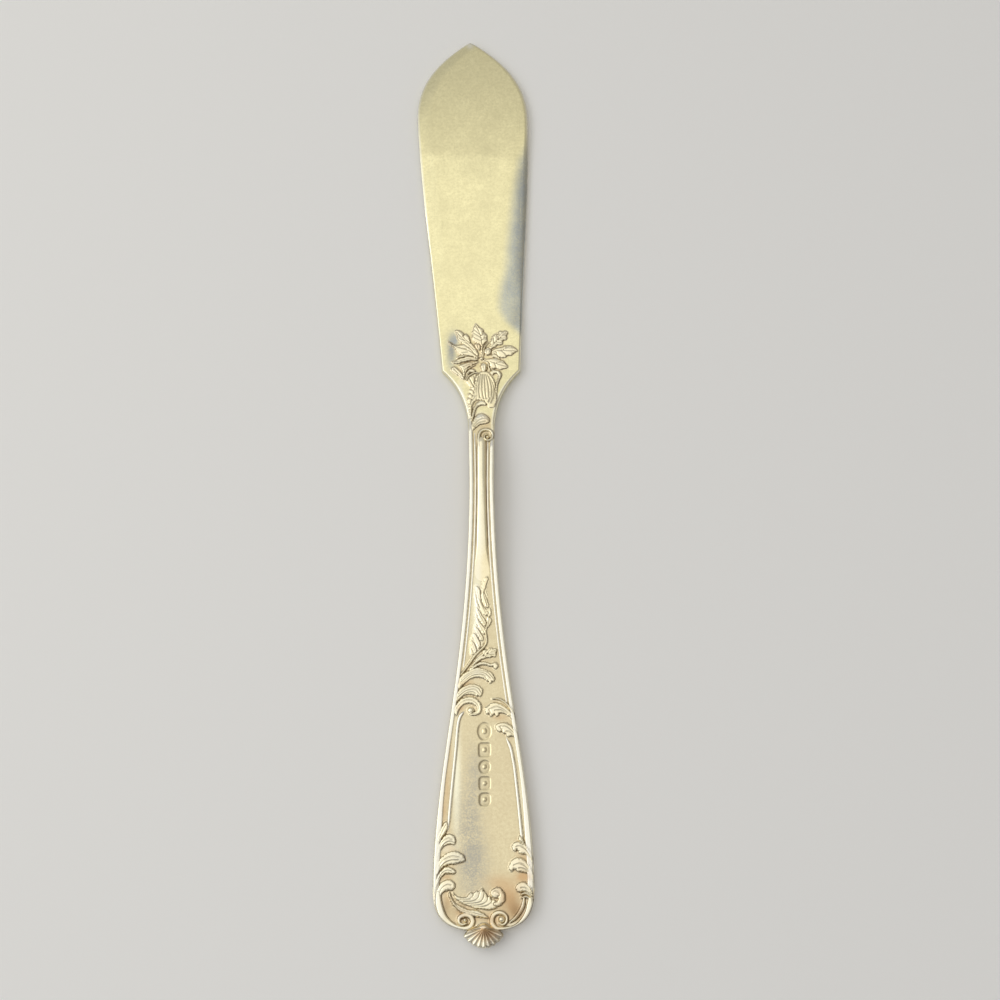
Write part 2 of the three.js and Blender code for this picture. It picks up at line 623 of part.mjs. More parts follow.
const leftScrollSeat = endScroll(-1, leftEndVoluteRadius, shellClearance);
const rightScrollSeat = endScroll(1, rightEndVoluteRadius, shellClearance);
add("shell", shell([handleSeat, leftScrollSeat, rightScrollSeat]), reliefSilver);

const box = new THREE.Box3().setFromObject(knife);
const centre = box.getCenter(new THREE.Vector3());
knife.position.set(-centre.x, -centre.y, -box.min.z);

export default knife;
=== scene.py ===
"""Master butter knife in satin silver plate: blade, threaded handle and struck rococo relief.

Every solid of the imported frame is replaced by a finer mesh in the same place. Sizes are in millimetres and
places are read from the middle line of the handle, with y running from the shell to the tip.
"""

import logging
import math
from collections.abc import Sequence
from dataclasses import dataclass, field
from enum import Enum

import bpy
import numpy as np
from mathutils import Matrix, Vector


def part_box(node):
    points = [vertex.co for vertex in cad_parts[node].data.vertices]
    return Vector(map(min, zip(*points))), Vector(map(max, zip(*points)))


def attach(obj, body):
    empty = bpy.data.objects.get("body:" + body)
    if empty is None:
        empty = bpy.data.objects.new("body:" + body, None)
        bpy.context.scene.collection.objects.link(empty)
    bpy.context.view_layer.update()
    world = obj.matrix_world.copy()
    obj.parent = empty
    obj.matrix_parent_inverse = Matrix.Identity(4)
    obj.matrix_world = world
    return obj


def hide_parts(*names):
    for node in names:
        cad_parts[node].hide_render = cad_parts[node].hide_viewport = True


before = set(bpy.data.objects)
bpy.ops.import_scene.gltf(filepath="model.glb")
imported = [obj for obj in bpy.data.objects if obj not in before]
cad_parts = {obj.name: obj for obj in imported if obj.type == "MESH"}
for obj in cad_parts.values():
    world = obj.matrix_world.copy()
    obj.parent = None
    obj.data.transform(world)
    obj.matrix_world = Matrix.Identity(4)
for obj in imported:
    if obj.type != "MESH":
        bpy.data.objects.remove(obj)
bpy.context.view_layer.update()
LOG = logging.getLogger("butter_knife")

Array = np.ndarray
Point = tuple[float, float]
Box = tuple[float, float, float, float]
Colour = tuple[float, float, float]
Socket = bpy.types.NodeSocket

MM = 0.001
BODY = "root"
# Colour attribute: patina with painted shade, warm and grey filming with a painted reflection, and
# worn-bright silver with painted highlights.
WEAR_AND_LIGHT = "wear"


def smoothstep(value: Array | float, low: Array | float, high: Array | float) -> Array:
    """Eases from 0 to 1 between two values.

    Args:
        value: Values to ease.
        low: Where the result leaves 0.
        high: Where the result reaches 1.

    Returns:
        The eased values.
    """
    share = np.clip((np.asarray(value, float) - low) / (high - low), 0.0, 1.0)
    return share * share * (3.0 - 2.0 * share)


def eased(value: Array | float, low: float, high: float) -> Array:
    """Returns a ramp from 0 to 1 that is mostly straight, with softened ends."""
    straight = np.clip((np.asarray(value, float) - low) / (high - low), 0.0, 1.0)
    return 0.75 * straight + 0.25 * smoothstep(value, low, high)


def mix(a: Array | float, b: Array | float, share: Array | float) -> Array:
    """Returns the value that lies a share of the way from a to b."""
    return a + (b - a) * np.asarray(share, float)


def bezier(points: Sequence[Point], steps: int = 160) -> Array:
    """Samples a cubic Bezier curve.

    Args:
        points: The four control points.
        steps: Number of spans.

    Returns:
        An array of points, one row each.
    """
    t = np.linspace(0.0, 1.0, steps + 1)[:, None]
    p = np.array(points, float)
    u = 1.0 - t
    return u**3 * p[0] + 3 * u * u * t * p[1] + 3 * u * t * t * p[2] + t**3 * p[3]


def spline(points: Sequence[Point], steps: int = 10) -> Array:
    """Draws a Catmull-Rom curve through points.

    Args:
        points: The points that the curve passes.
        steps: Number of spans between neighbours.

    Returns:
        An array of points evenly shared between the given ones.
    """
    p = np.array(points, float)
    padded = np.vstack([2 * p[0] - p[1], p, 2 * p[-1] - p[-2]])
    t = np.linspace(0.0, 1.0, steps, endpoint=False)[:, None]
    spans = []
    for i in range(len(p) - 1):
        a, b, c, d = padded[i : i + 4]
        square = 2 * a - 5 * b + 4 * c - d
        cube = 3 * b - a - 3 * c + d
        spans.append(0.5 * (2 * b + (c - a) * t + square * t**2 + cube * t**3))
    return np.vstack([*spans, p[-1:]])


@dataclass(frozen=True)
class Mark:
    """A plain struck cartouche on the panel, with one pip."""

    y: float
    half_width: float
    half_length: float
    power: float
    x: float = 0.3
    field_depth: float = 0.08
    lip_depth: float = 0.13
    lip_place: float = 0.95
    lip_width: float = 0.17
    pip_rise: float = 0.16
    pip_share: float = 0.42

    def depth(self, x: Array, y: Array) -> Array:
        """Gives how deep the mark sinks the face.

        Args:
            x: Places across.
            y: Places along.

        Returns:
            Heights, below 0 in the sunk field.
        """
        u = np.abs((x - self.x) / self.half_width)
        v = np.abs((y - self.y) / self.half_length)
        reach = (u**self.power + v**self.power) ** (1.0 / self.power)
        sunk = -self.field_depth * (1.0 - smoothstep(reach, 0.8, self.lip_place))
        lip = -self.lip_depth * np.exp(-(((reach - self.lip_place) / self.lip_width) ** 2))
        pip = self.pip_rise * np.clip(1.0 - (u / self.pip_share) ** 2 - (v / self.pip_share) ** 2, 0.0, 1.0)
        return sunk + lip + pip


@dataclass(frozen=True)
class Knife:
    """Driving sizes of the knife's outline and sections, as the part's source has them."""

    parting: float = 5.0
    neck_length: float = 11.6
    blade_length: float = 73.4
    point_length: float = 18.0
    neck_half: float = 2.5
    shoulder_half: float = 7.6
    blade_half: float = 11.25
    tip_half: float = 0.2
    tip_lean: float = 2.0
    blade_thickness: float = 1.4
    handle_length: float = 92.3
    stem_lead: float = 11.0
    end_length: float = 7.3
    panel_length: float = 42.0
    stem_half: float = 2.33
    end_half: float = 8.85
    stem_thickness: float = 3.0
    end_thickness: float = 2.0
    stem_lift: float = 1.0
    chamfer: float = 0.45
    handle_edge: float = 0.1
    root_edge: float = 0.42
    edge_change: Point = (2.0, 6.5)
    blade_ramp: float = 8.0
    bevel_start: float = 12.0
    bevel_run: float = 24.0
    cutting_bevel: float = 3.0
    cutting_drop: float = 0.5
    cutting_curve: float = 1.7
    spine_bevel: float = 0.7
    spine_drop: float = 0.25
    spine_curve: float = 1.6
    spine_roll: float = 3.9
    spine_roll_swell: float = 2.6
    spine_roll_drop: float = 0.22
    swell_place: float = 31.5
    swell_half: float = 4.0
    roll_start: Point = (8.5, 13.5)
    flat_point: Point = (58.0, 70.0)
    sight_distance: float = 253.0
    sight_foot: float = -84.4
    sight_level: float = 1.2
    panel_crown: float = 0.14
    crown_fade: Point = (-52.0, -22.0)
    marks: tuple[Mark, ...] = (
        Mark(-53.0, 1.15, 1.45, 2.0),
        Mark(-56.3, 1.0, 1.15, 5.0),
        Mark(-59.3, 0.95, 1.05, 2.2),
        Mark(-62.2, 0.95, 1.05, 5.0),
        Mark(-65.0, 0.95, 1.05, 3.0),
    )

    @property
    def shoulder(self) -> float:
        """Place of the blade's shoulders."""
        return self.parting + self.neck_length

    @property
    def tip(self) -> float:
        """Place of the blade's tip."""
        return self.shoulder + self.blade_length

    @property
    def end(self) -> float:
        """Place of the handle's rounded end."""
        return self.parting - self.handle_length

    def outline(self) -> Array:
        """Draws half the outline.

        Returns:
            Rows of half-width and place, from the handle's end to the tip.
        """
        end, start, part = self.end, self.end + self.end_length, self.parting
        stem, widest = self.parting - self.stem_lead, self.tip - self.point_length
        shoulder, tip, neck_length = self.shoulder, self.tip, self.neck_length
        wide, slim, neck = self.end_half, self.stem_half, self.neck_half
        square, broad = self.shoulder_half, self.blade_half
        curves = (
            ((0, end), (0.77 * wide, end), (wide, mix(end, start, 0.29)), (wide, start)),
            ((wide, start), (wide, mix(start, stem, 0.28)), (slim, mix(start, stem, 0.53)), (slim, stem)),
            ((slim, stem), (mix(slim, neck, 0.33), mix(stem, part, 0.33)),
             (mix(slim, neck, 0.67), mix(stem, part, 0.67)), (neck, part)),
            ((neck, part), (mix(neck, square, 0.08), part + 0.39 * neck_length),
             (mix(neck, square, 0.33), part + 0.71 * neck_length), (square, shoulder)),
            ((square, shoulder), (mix(square, broad, 0.38), mix(shoulder, widest, 0.38)),
             (mix(square, broad, 0.97), mix(shoulder, widest, 0.78)), (broad, widest)),
            ((broad, widest), (broad, mix(widest, tip, 0.39)),
             (0.73 * broad, mix(widest, tip, 0.69)), (self.tip_half, tip)),
        )
        return np.vstack([bezier(curve) for curve in curves])

    def half_width(self, y: Array | float) -> Array:
        """Returns the half-width at a place."""
        rows = self.outline()
        return np.interp(y, rows[:, 1], rows[:, 0])

    def middle(self, y: Array | float) -> Array:
        """Returns where the middle line lies, as the blade leans to its cutting edge."""
        along = (np.asarray(y, float) - self.shoulder) / self.blade_length
        return -self.tip_lean * np.clip(along, 0.0, None)

    def underside(self, y: Array | float) -> Array:
        """Gives the height of the underside, which the stem lifts off the table.

        Args:
            y: Places along.

        Returns:
            Heights of the underside.
        """
        stem, panel = self.parting - self.stem_lead, self.end + self.panel_length
        above = 1.0 - eased(y, stem, self.shoulder)
        return self.stem_lift * np.where(np.asarray(y) > stem, above, smoothstep(y, panel, stem))

    def face(self, y: Array | float) -> Array:
        """Gives the height of the upper face before its crown and edges.

        Args:
            y: Places along.

        Returns:
            Heights of the face.
        """
        stem, panel = self.parting - self.stem_lead, self.end + self.panel_length
        thinned = eased(y, stem, self.shoulder + self.blade_ramp)
        above = mix(self.stem_thickness, self.blade_thickness, thinned)
        below = mix(self.end_thickness, self.stem_thickness, smoothstep(y, panel, stem))
        return self.underside(y) + np.where(np.asarray(y) > stem, above, below)

    def on_blade(self, y: Array | float) -> Array:
        """Returns 0 on the plain root and 1 where the blade has its full bevels."""
        start = self.shoulder + self.bevel_start
        return smoothstep(y, start, start + self.bevel_run)

    def insets(self, x: Array, y: Array) -> tuple[Array, Array]:
        """Returns the distances from the left edge and from the right edge."""
        half, mid = self.half_width(y), self.middle(y)
        return np.clip(x - (mid - half), 0.0, None), np.clip(mid + half - x, 0.0, None)

    def bevels(self, left: Array, right: Array) -> Array:
        """Gives how far the cutting edge and the blade's back fall away.

        Args:
            left: Distances from the cutting edge.
            right: Distances from the back.

        Returns:
            Drops of the two bevels together.
        """
        cutting = np.clip(1.0 - left / self.cutting_bevel, 0.0, 1.0) ** self.cutting_curve
        spine = np.clip(1.0 - right / self.spine_bevel, 0.0, 1.0) ** self.spine_curve
        return self.cutting_drop * cutting + self.spine_drop * spine

    def edge_drops(self, x: Array, y: Array) -> Array:
        """Gives how far the face falls away at the edges.

        Args:
            x: Places across.
            y: Places along.

        Returns:
            Drops below the flat face.
        """
        left, right = self.insets(x, y)
        radius = mix(self.handle_edge, self.root_edge, smoothstep(y, *self.edge_change))
        plain = np.zeros_like(left)
        for inset in (left, right):
            short = np.clip(radius - inset, 0.0, None)
            plain = plain + radius - np.sqrt(np.maximum(radius**2 - short**2, 0.0))
        swell = np.exp(-(((y - self.swell_place) / self.swell_half) ** 2))
        reach = self.spine_roll + self.spine_roll_swell * swell
        roll = self.spine_roll_drop * np.clip(1.0 - right / reach, 0.0, 1.0) ** 2
        flat = smoothstep(y, *self.flat_point)
        bevelled = self.bevels(left, right) * (1.0 - 0.6 * flat)
        first, full = self.roll_start
        worn = smoothstep(y, self.shoulder + first, self.shoulder + full) * (1.0 - flat)
        return mix(plain, bevelled, self.on_blade(y)) + roll * worn

    def drawn(self, y: Array) -> Array:
        """Returns where places on the raised face show in a flat drawing of the knife."""
        return y + (self.face(y) - self.sight_level) * (y - self.sight_foot) / self.sight_distance

    def ground(self, x: Array, y: Array) -> Array:
        """Gives the height of the struck ground that the relief stands on.

        Args:
            x: Places across.
            y: Places along.

        Returns:
            Heights of the upper face.
        """
        half = np.maximum(self.half_width(y), 0.3)
        across = np.clip((x - self.middle(y)) / half, -1.0, 1.0)
        on_panel = 1.0 - smoothstep(y, *self.crown_fade)
        crown = self.panel_crown * on_panel * (1.0 - across**2)
        height = self.face(y) + crown - self.edge_drops(x, y)
        for mark in self.marks:
            height = height + mark.depth(x, y)
        return height


KNIFE = Knife()

MARGIN = 0.5
SKIRT = 0.2
SKIRT_LIFT = 0.008
SKIRT_FALL = 1.1


def skirted(outside: Array) -> Array:
    """Gives the thin film of metal round a stroke, which falls below the ground past its skirt.

    Args:
        outside: Distances outside the stroke's edge.

    Returns:
        Heights outside the stroke.
    """
    return np.minimum(SKIRT_LIFT, SKIRT_LIFT - SKIRT_FALL * (outside - SKIRT))


def ripple(x: Array, y: Array) -> Array:
    """Returns a fixed ripple between -1 and 1, which leaves the edges of struck leaves uneven."""
    return np.sin(6.6 * x + 1.9 * np.sin(3.7 * y)) * np.sin(7.1 * y + 1.7 * np.sin(4.1 * x))


def distance_to(path: Array, x: Array, y: Array) -> Array:
    """Measures how far places lie from a line of points.

    Args:
        path: The line's points, one row each.
        x: Places across.
        y: Places along.

    Returns:
        Distances to the nearest part of the line.
    """
    best = np.full(x.shape, 1e9)
    for start, step in zip(path[:-1], np.diff(path, axis=0)):
        dx, dy = x - start[0], y - start[1]
        along = np.clip((dx * step[0] + dy * step[1]) / max(step @ step, 1e-9), 0.0, 1.0)
        best = np.minimum(best, np.hypot(dx - along * step[0], dy - along * step[1]))
    return best


class Stroke:
    """One stroke of a relief, which rises along or inside a line."""

    def path(self) -> Array:
        """Returns the stroke's line of points."""
        raise NotImplementedError

    def spread(self) -> float:
        """Returns how far the stroke spreads outside its line."""
        return 0.0

    def heights(self, x: Array, y: Array) -> tuple[Array, Array]:
        """Gives the stroke's height and its distance from the edge.

        Args:
            x: Places across.
            y: Places along.

        Returns:
            Heights above the ground, and distances outside the edge.
        """
        raise NotImplementedError

    def box(self) -> Box:
        """Measures how far the stroke can reach.

        Returns:
            The lowest and highest x, then the lowest and highest y.
        """
        path, reach = self.path(), self.spread() + MARGIN
        low, high = path.min(0) - reach, path.max(0) + reach
        return low[0], high[0], low[1], high[1]


@dataclass(frozen=True)
class Form(Stroke):
    """A leaf or scroll drawn by its outline, with lines cut into it."""

    outline: Sequence[Point]
    cuts: Sequence[Sequence[Point]] = ()
    rise: float = 0.17
    dome: float = 0.08
    edge: float = 0.19
    cut: float = 0.085
    grow: float = 0.05
    ragged: float = 0.07
    groove: float = 0.11
    least: float = 0.02

    def path(self) -> Array:
        """Rounds the outline off.

        Returns:
            The closed outline as a smooth line of points.
        """
        p = np.array(self.outline, float)
        ring = np.vstack([p[-1:], p, p[:2]])
        return spline(ring, 5)[5:-5]

    def heights(self, x: Array, y: Array) -> tuple[Array, Array]:
        """Gives the form's height and its distance from the edge.

        Args:
            x: Places across.
            y: Places along.

        Returns:
            Heights above the ground, and distances outside the edge.
        """
        path = self.path()
        away = distance_to(path, x, y)
        inside = np.zeros(x.shape, bool)
        for (ax, ay), (bx, by) in zip(path[:-1], path[1:]):
            if ay != by:
                inside ^= ((ay > y) != (by > y)) & (x < (bx - ax) * (y - ay) / (by - ay) + ax)
        outside = np.where(inside, -away, away) - self.grow + self.ragged * ripple(x, y)
        inside = outside < 0.0
        deep = np.where(inside, -outside, 0.0)
        share = deep / max(float(deep.max()), 0.2)
        body = self.rise * (1.0 - (1.0 - np.clip(deep / self.edge, 0.0, 1.0)) ** 2)
        body = body + self.dome * share * (2.0 - share)
        for line in self.cuts:
            groove = np.exp(-((distance_to(spline(line, 6), x, y) / self.groove) ** 2))
            body = body - self.cut * groove * np.clip(deep / 0.2, 0.0, 1.0)
        return np.where(inside, np.maximum(body, self.least), skirted(outside)), outside


@dataclass(frozen=True)
class Ridge(Stroke):
    """A rounded stroke along a spine, with half-widths from its start to its end."""

    spine: Sequence[Point]
    widths: Sequence[float]
    rise: float = 0.3
    fullness: float = 2.6

    def path(self) -> Array:
        """Returns the spine as a smooth line."""
        return spline(self.spine)

    def spread(self) -> float:
        """Returns the greatest half-width."""
        return max(self.widths)

    def heights(self, x: Array, y: Array) -> tuple[Array, Array]:
        """Gives the stroke's height and its distance from the edge.

        Args:
            x: Places across.
            y: Places along.

        Returns:
            Heights above the ground, and distances outside the edge.
        """
        path = self.path()
        steps = np.diff(path, axis=0)
        lengths = np.hypot(steps[:, 0], steps[:, 1])
        best = np.full(x.shape, 1e9)
        share = np.zeros(x.shape)
        walked = 0.0
        for start, step, length in zip(path[:-1], steps, lengths):
            dx, dy = x - start[0], y - start[1]
            along = np.clip((dx * step[0] + dy * step[1]) / (length * length), 0.0, 1.0)
            away = np.hypot(dx - along * step[0], dy - along * step[1])
            share = np.where(away < best, (walked + along * length) / lengths.sum(), share)
            best = np.minimum(best, away)
            walked += length
        half = np.maximum(np.interp(share, np.linspace(0.0, 1.0, len(self.widths)), self.widths), 1e-3)
        beside = best / half
        body = self.rise * (1.0 - np.clip(beside, 0.0, 1.0) ** self.fullness)
        outside = best - half
        return np.where(beside < 1.0, body, skirted(outside)), outside


@dataclass(frozen=True)
class Bead(Stroke):
    """A bud, berry or eye of a volute."""

    centre: Point
    half_width: float
    half_length: float
    turn: float = 0.0
    rise: float = 0.32
    fullness: float = 2.4

    def path(self) -> Array:
        """Returns the bead's middle."""
        return np.array([self.centre], float)

    def spread(self) -> float:
        """Returns the greater half-size."""
        return max(self.half_width, self.half_length)

    def heights(self, x: Array, y: Array) -> tuple[Array, Array]:
        """Gives the bead's height and its distance from the edge.

        Args:
            x: Places across.
            y: Places along.

        Returns:
            Heights above the ground, and distances outside the edge.
        """
        angle = math.radians(self.turn)
        dx, dy = x - self.centre[0], y - self.centre[1]
        u = (dx * math.cos(angle) + dy * math.sin(angle)) / self.half_width
        v = (dy * math.cos(angle) - dx * math.sin(angle)) / self.half_length
        beside = np.hypot(u, v)
        outside = (beside - 1.0) * min(self.half_width, self.half_length)
        body = self.rise * (1.0 - np.clip(beside, 0.0, 1.0) ** self.fullness)
        return np.where(beside < 1.0, body, skirted(outside)), outside


@dataclass
class Plate:
    """The grid over the knife's ornamented face that every relief is struck on."""

    step: float = 0.08
    x_low: float = -9.6
    x_high: float = 9.6
    y_low: float = -91.0
    y_high: float = 30.0
    sink: float = 0.14
    polish_reach: float = 0.15
    recess_reach: float = 0.55
    # Painted shade: how far over and down it is laid beside the relief, and the lee height that makes it
    # full.
    shade_over: float = 0.24
    shade_below: float = 0.16
    shade_full: float = 0.12
    least_hollow: float = 0.008
    full_hollow: float = 0.045
    open_tarnish: float = 0.26
    lee_painted_shade: float = 1.1
    raised_polish: float = 0.65
    raised_range: Point = (0.06, 0.16)
    least_recess: float = 0.03
    full_recess: float = 0.1
    height: Array = field(init=False)
    # cavity holds patina in the hollows together with painted shade below and right of the relief.
    cavity: Array = field(init=False)
    recess: Array = field(init=False)

    def __post_init__(self) -> None:
        """Lays out an empty plate."""
        self.xs = np.arange(self.x_low, self.x_high + self.step / 2, self.step)
        self.ys = np.arange(self.y_low, self.y_high + self.step / 2, self.step)
        self.height = np.zeros((len(self.ys), len(self.xs)))
        self.cavity = np.zeros_like(self.height)
        self.recess = np.zeros_like(self.height)

    def window(self, box: Box) -> tuple[slice, slice]:
        """Finds the part of the grid that a box covers.

        Args:
            box: The lowest and highest x, then the lowest and highest y.

        Returns:
            Its rows and its columns.
        """
        left, right, low, high = box
        columns = np.searchsorted(self.xs, (left, right))
        rows = np.searchsorted(self.ys, (low, high))
        return slice(max(rows[0] - 1, 0), rows[1] + 1), slice(max(columns[0] - 1, 0), columns[1] + 1)

    def strike(self, rows: slice, columns: slice, heights: Array) -> None:
        """Raises the plate to a relief."""
        self.height[rows, columns] = np.maximum(self.height[rows, columns], heights)

    def strike_thread(self, path: Array, widths: Array, rise: Array, power: float) -> None:
        """Raises the plate along a thread.

        Args:
            path: Rows of places along the thread.
            widths: Half-width at each place.
            rise: Height at each place.
            power: How square the thread's section is.
        """
        order = np.argsort(path[:, 1])
        rows = self.ys[:, None]
        middle = np.interp(rows, path[order, 1], path[order, 0])
        half = np.interp(rows, path[order, 1], widths[order], left=0.0, right=0.0)
        crest = np.interp(rows, path[order, 1], rise[order], left=0.0, right=0.0)
        beside = np.abs(self.xs[None, :] - middle) / np.maximum(half, 1e-3)
        self.height = np.maximum(self.height, crest * np.sqrt(np.clip(1.0 - beside**power, 0.0, 1.0)))

    def blurred(self, radius: float) -> Array:
        """Blurs the plate's heights.

        Args:
            radius: How far the blur reaches.

        Returns:
            The blurred heights.
        """
        cells = int(math.ceil(3 * radius / self.step))
        places = np.arange(-cells, cells + 1) * self.step
        weights = np.exp(-0.5 * (places / radius) ** 2)
        weights /= weights.sum()
        made = np.zeros_like(self.height)
        for shift, weight in zip(range(-cells, cells + 1), weights):
            made += weight * np.roll(self.height, shift, axis=0)
        source = made.copy()
        made[:] = 0.0
        for shift, weight in zip(range(-cells, cells + 1), weights):
            made += weight * np.roll(source, shift, axis=1)
        return made

    def find_cavities(self) -> None:
        """Works out where polish doesn't reach and patina stays in the hollows, and paints shade below and
        right of the relief.
        """
        y, x = np.meshgrid(self.ys, self.xs, indexing="ij")
        for mark in KNIFE.marks:
            self.height = self.height + mark.depth(x, y)
        hollow = self.blurred(self.polish_reach) - self.height - self.least_hollow
        hollow = np.clip(hollow / self.full_hollow, 0.0, 1.0)
        over = round(self.shade_over / self.step)
        below = round(self.shade_below / self.step)
        # Painted shade: heights shifted from the upper left darken the side of each form away from the
        # light.
        lee = np.roll(np.roll(self.height, over, axis=1), -below, axis=0) - self.height
        lee_shade = np.clip(lee / self.shade_full, 0.0, 1.0)
        polished = self.raised_polish * smoothstep(self.height, *self.raised_range)
        # kept weighs patina in the open hollows and painted shade on the lee side.
        kept = self.open_tarnish + self.lee_painted_shade * lee_shade
        self.cavity = np.clip(hollow * kept * (1.0 - polished), 0.0, 1.0)
        sunk = self.blurred(self.recess_reach) - np.maximum(self.height, 0.0)
        self.recess = np.clip((sunk - self.least_recess) / self.full_recess, 0.0, 1.0)

    def read(self, layer: Array, x: Array, y: Array) -> Array:
        """Reads one of the plate's layers at places.

        Args:
            layer: The layer.
            x: Places across.
            y: Places along.

        Returns:
            The layer's values, 0 off the plate.
        """
        u = np.clip((x - self.x_low) / self.step, 0, len(self.xs) - 1.001)
        v = np.clip((y - self.y_low) / self.step, 0, len(self.ys) - 1.001)
        i, j = u.astype(int), v.astype(int)
        a, b = u - i, v - j
        top = layer[j + 1, i] * (1 - a) + layer[j + 1, i + 1] * a
        low = layer[j, i] * (1 - a) + layer[j, i + 1] * a
        return np.where((y > self.y_high - 0.5) | (np.abs(x) > self.x_high), 0.0, low * (1 - b) + top * b)


PLATE = Plate()


@dataclass(frozen=True)
class Stain:
    """A soft patch on the silver, used for stains, worn-bright places, painted highlights and darker
    patches.
    """

    x: float
    y: float
    half_width: float
    half_length: float
    amount: float

    def cover(self, x: Array, y: Array) -> Array:
        """Gives how much of the patch lies at places.

        Args:
            x: Places across.
            y: Places along.

        Returns:
            The patch's strength, which fades from its middle.
        """
        across = ((x - self.x) / self.half_width) ** 2
        along = ((y - self.y) / self.half_length) ** 2
        return self.amount * np.exp(-across - along)


def stains(*rows: tuple[float, ...]) -> tuple[Stain, ...]:
    """Returns a patch for each row of x, y, half-width, half-length and amount."""
    return tuple(Stain(*row) for row in rows)


@dataclass(frozen=True)
class WearAndPaintedLight:
    """Warm and grey filming, patina and worn-bright places that use has left on the knife, with painted
    shade, a painted reflection and painted highlights laid in among them.
    """

    warm: tuple[Stain, ...] = stains(
        (-6.0, -73.4, 0.9, 0.5, 0.35), (-6.4, -78.2, 0.9, 0.4, 0.5), (6.9, -78.3, 1.2, 0.8, 1.0),
        (4.6, -81.8, 1.8, 2.3, 1.0), (2.6, -79.2, 2.4, 1.3, 0.55), (5.6, -84.0, 1.4, 1.2, 0.7),
        (-4.2, -84.2, 1.8, 1.0, 0.45), (-6.2, -82.3, 0.9, 1.6, 0.6), (3.0, -50.6, 1.4, 0.5, 0.5),
        (-4.0, -48.9, 0.7, 0.6, 0.6), (-3.0, -44.4, 1.4, 0.5, 0.35), (-1.7, 17.6, 1.6, 1.0, 0.4),
        (-0.6, 21.6, 0.9, 0.8, 0.4), (0.4, 19.6, 1.6, 1.4, 0.15), (1.2, 5.6, 1.2, 1.4, 0.3),
        (1.2, -85.2, 0.8, 0.9, 0.4), (0.4, -87.6, 2.3, 1.3, 1.0), (0.2, -85.2, 4.0, 0.8, 0.25),
        (7.0, -75.8, 1.2, 2.6, 0.25), (-5.8, -58.5, 0.4, 3.0, 0.35), (-6.35, -63.0, 0.4, 3.0, 0.55),
        (-6.85, -67.0, 0.4, 2.2, 0.55),
    )
    # Grey stains; strip() adds the painted reflection to this same grey layer.
    grey: tuple[Stain, ...] = stains(
        (-2.4, -70.5, 2.1, 9.0, 1.0), (-1.4, -76.5, 2.6, 5.0, 0.6), (-1.4, -60.0, 1.3, 5.0, 0.5),
        (-5.8, 20.0, 0.9, 3.4, 1.0), (-5.1, 23.0, 0.9, 1.4, 0.9),
    )
    # Worn-bright places, mostly painted highlights: the white rims of the end and neck, the left sides of
    # the rib and panel, the shell's knob and tips, the comma leaf and a glint at the blade's tip.
    rubbed_and_highlight: tuple[Stain, ...] = stains(
        (-4.7, -61.0, 0.7, 10.0, 1.0), (-6.2, -73.4, 1.0, 0.7, 0.8), (-8.3, -77.0, 0.7, 8.0, 0.9),
        (-7.6, -83.8, 0.7, 3.0, 0.9), (-5.2, -86.6, 1.5, 0.6, 0.7), (7.3, -84.4, 0.8, 2.6, 1.0),
        (5.0, -86.3, 1.5, 0.7, 0.8), (-4.0, -85.0, 0.6, 0.5, 0.8), (-0.5, -12.0, 0.45, 16.0, 0.5),
        (-1.1, -31.0, 0.7, 9.0, 0.9), (-3.9, 10.5, 0.5, 4.0, 0.6), (6.75, -63.0, 0.45, 7.0, 0.6),
        (6.0, -56.0, 0.4, 3.0, 0.5), (-2.6, -88.4, 0.9, 1.0, 0.7), (0.0, -89.8, 2.4, 0.7, 1.0),
        (2.6, -88.6, 0.9, 1.0, 0.7), (-0.4, -86.6, 0.9, 0.7, 1.0), (-0.1, 6.7, 1.1, 0.8, 0.7),
        (-2.0, 89.4, 0.7, 0.8, 0.9),
    )
    # Darker patches, added to the patina channel.
    dusk: tuple[Stain, ...] = stains(
        (-5.7, 20.4, 0.9, 3.2, 0.3), (6.9, 27.0, 1.3, 2.2, 0.18), (4.8, -83.0, 2.0, 1.8, 0.2),
        (-5.2, -83.8, 1.8, 1.5, 0.16), (0.5, -85.6, 1.6, 0.8, 0.1), (5.6, -84.2, 0.9, 1.3, 0.3),
        (-6.6, -83.3, 0.5, 1.5, 0.25),
    )
    # Painted reflection: where the grey strip along the blade's back starts, as a share of the half-width,
    # by place along.
    strip_edge: tuple[Point, ...] = (
        (22.0, 1.22), (24.5, 0.9), (27.0, 0.6), (29.5, 0.44), (33.0, 0.46),
        (38.0, 0.58), (45.0, 0.64), (54.0, 0.72), (62.0, 0.83), (70.0, 1.12),
    )
    strip_strength: float = 0.95
    tip_shade: float = 0.1
    tip_line: float = 62.6
    tip_fade: float = 1.4
    # Brightening of the relief's tops, partly polish from use and partly a painted highlight.
    crest: float = 0.42
    # Painted highlight along the edges, widest round the neck.
    edge_shine: float = 0.75
    neck_shine: float = 0.35
    recess_warmth: float = 0.4

    def strip(self, x: Array, y: Array) -> Array:
        """Gives the painted reflection: a grey strip along the blade's back.

        Args:
            x: Places across.
            y: Places along.

        Returns:
            How strong the strip is.
        """
        share = (x - KNIFE.middle(y)) / np.maximum(KNIFE.half_width(y), 0.3)
        places, shares = zip(*self.strip_edge)
        start = np.interp(y, places, shares)
        return self.strip_strength * smoothstep(share - start, -0.12, 0.18)

    def edges(self, x: Array, y: Array) -> Array:
        """Gives the painted highlight along the knife's edges.

        Args:
            x: Places across.
            y: Places along.

        Returns:
            How bright they are, most of all round the neck.
        """
        inset = KNIFE.half_width(y) - np.abs(x - KNIFE.middle(y))
        wide = self.neck_shine * smoothstep(y, 1.0, 5.0) * (1.0 - smoothstep(y, 12.0, 17.0))
        return self.edge_shine * (1.0 - smoothstep(inset - wide, 0.12, 0.5))

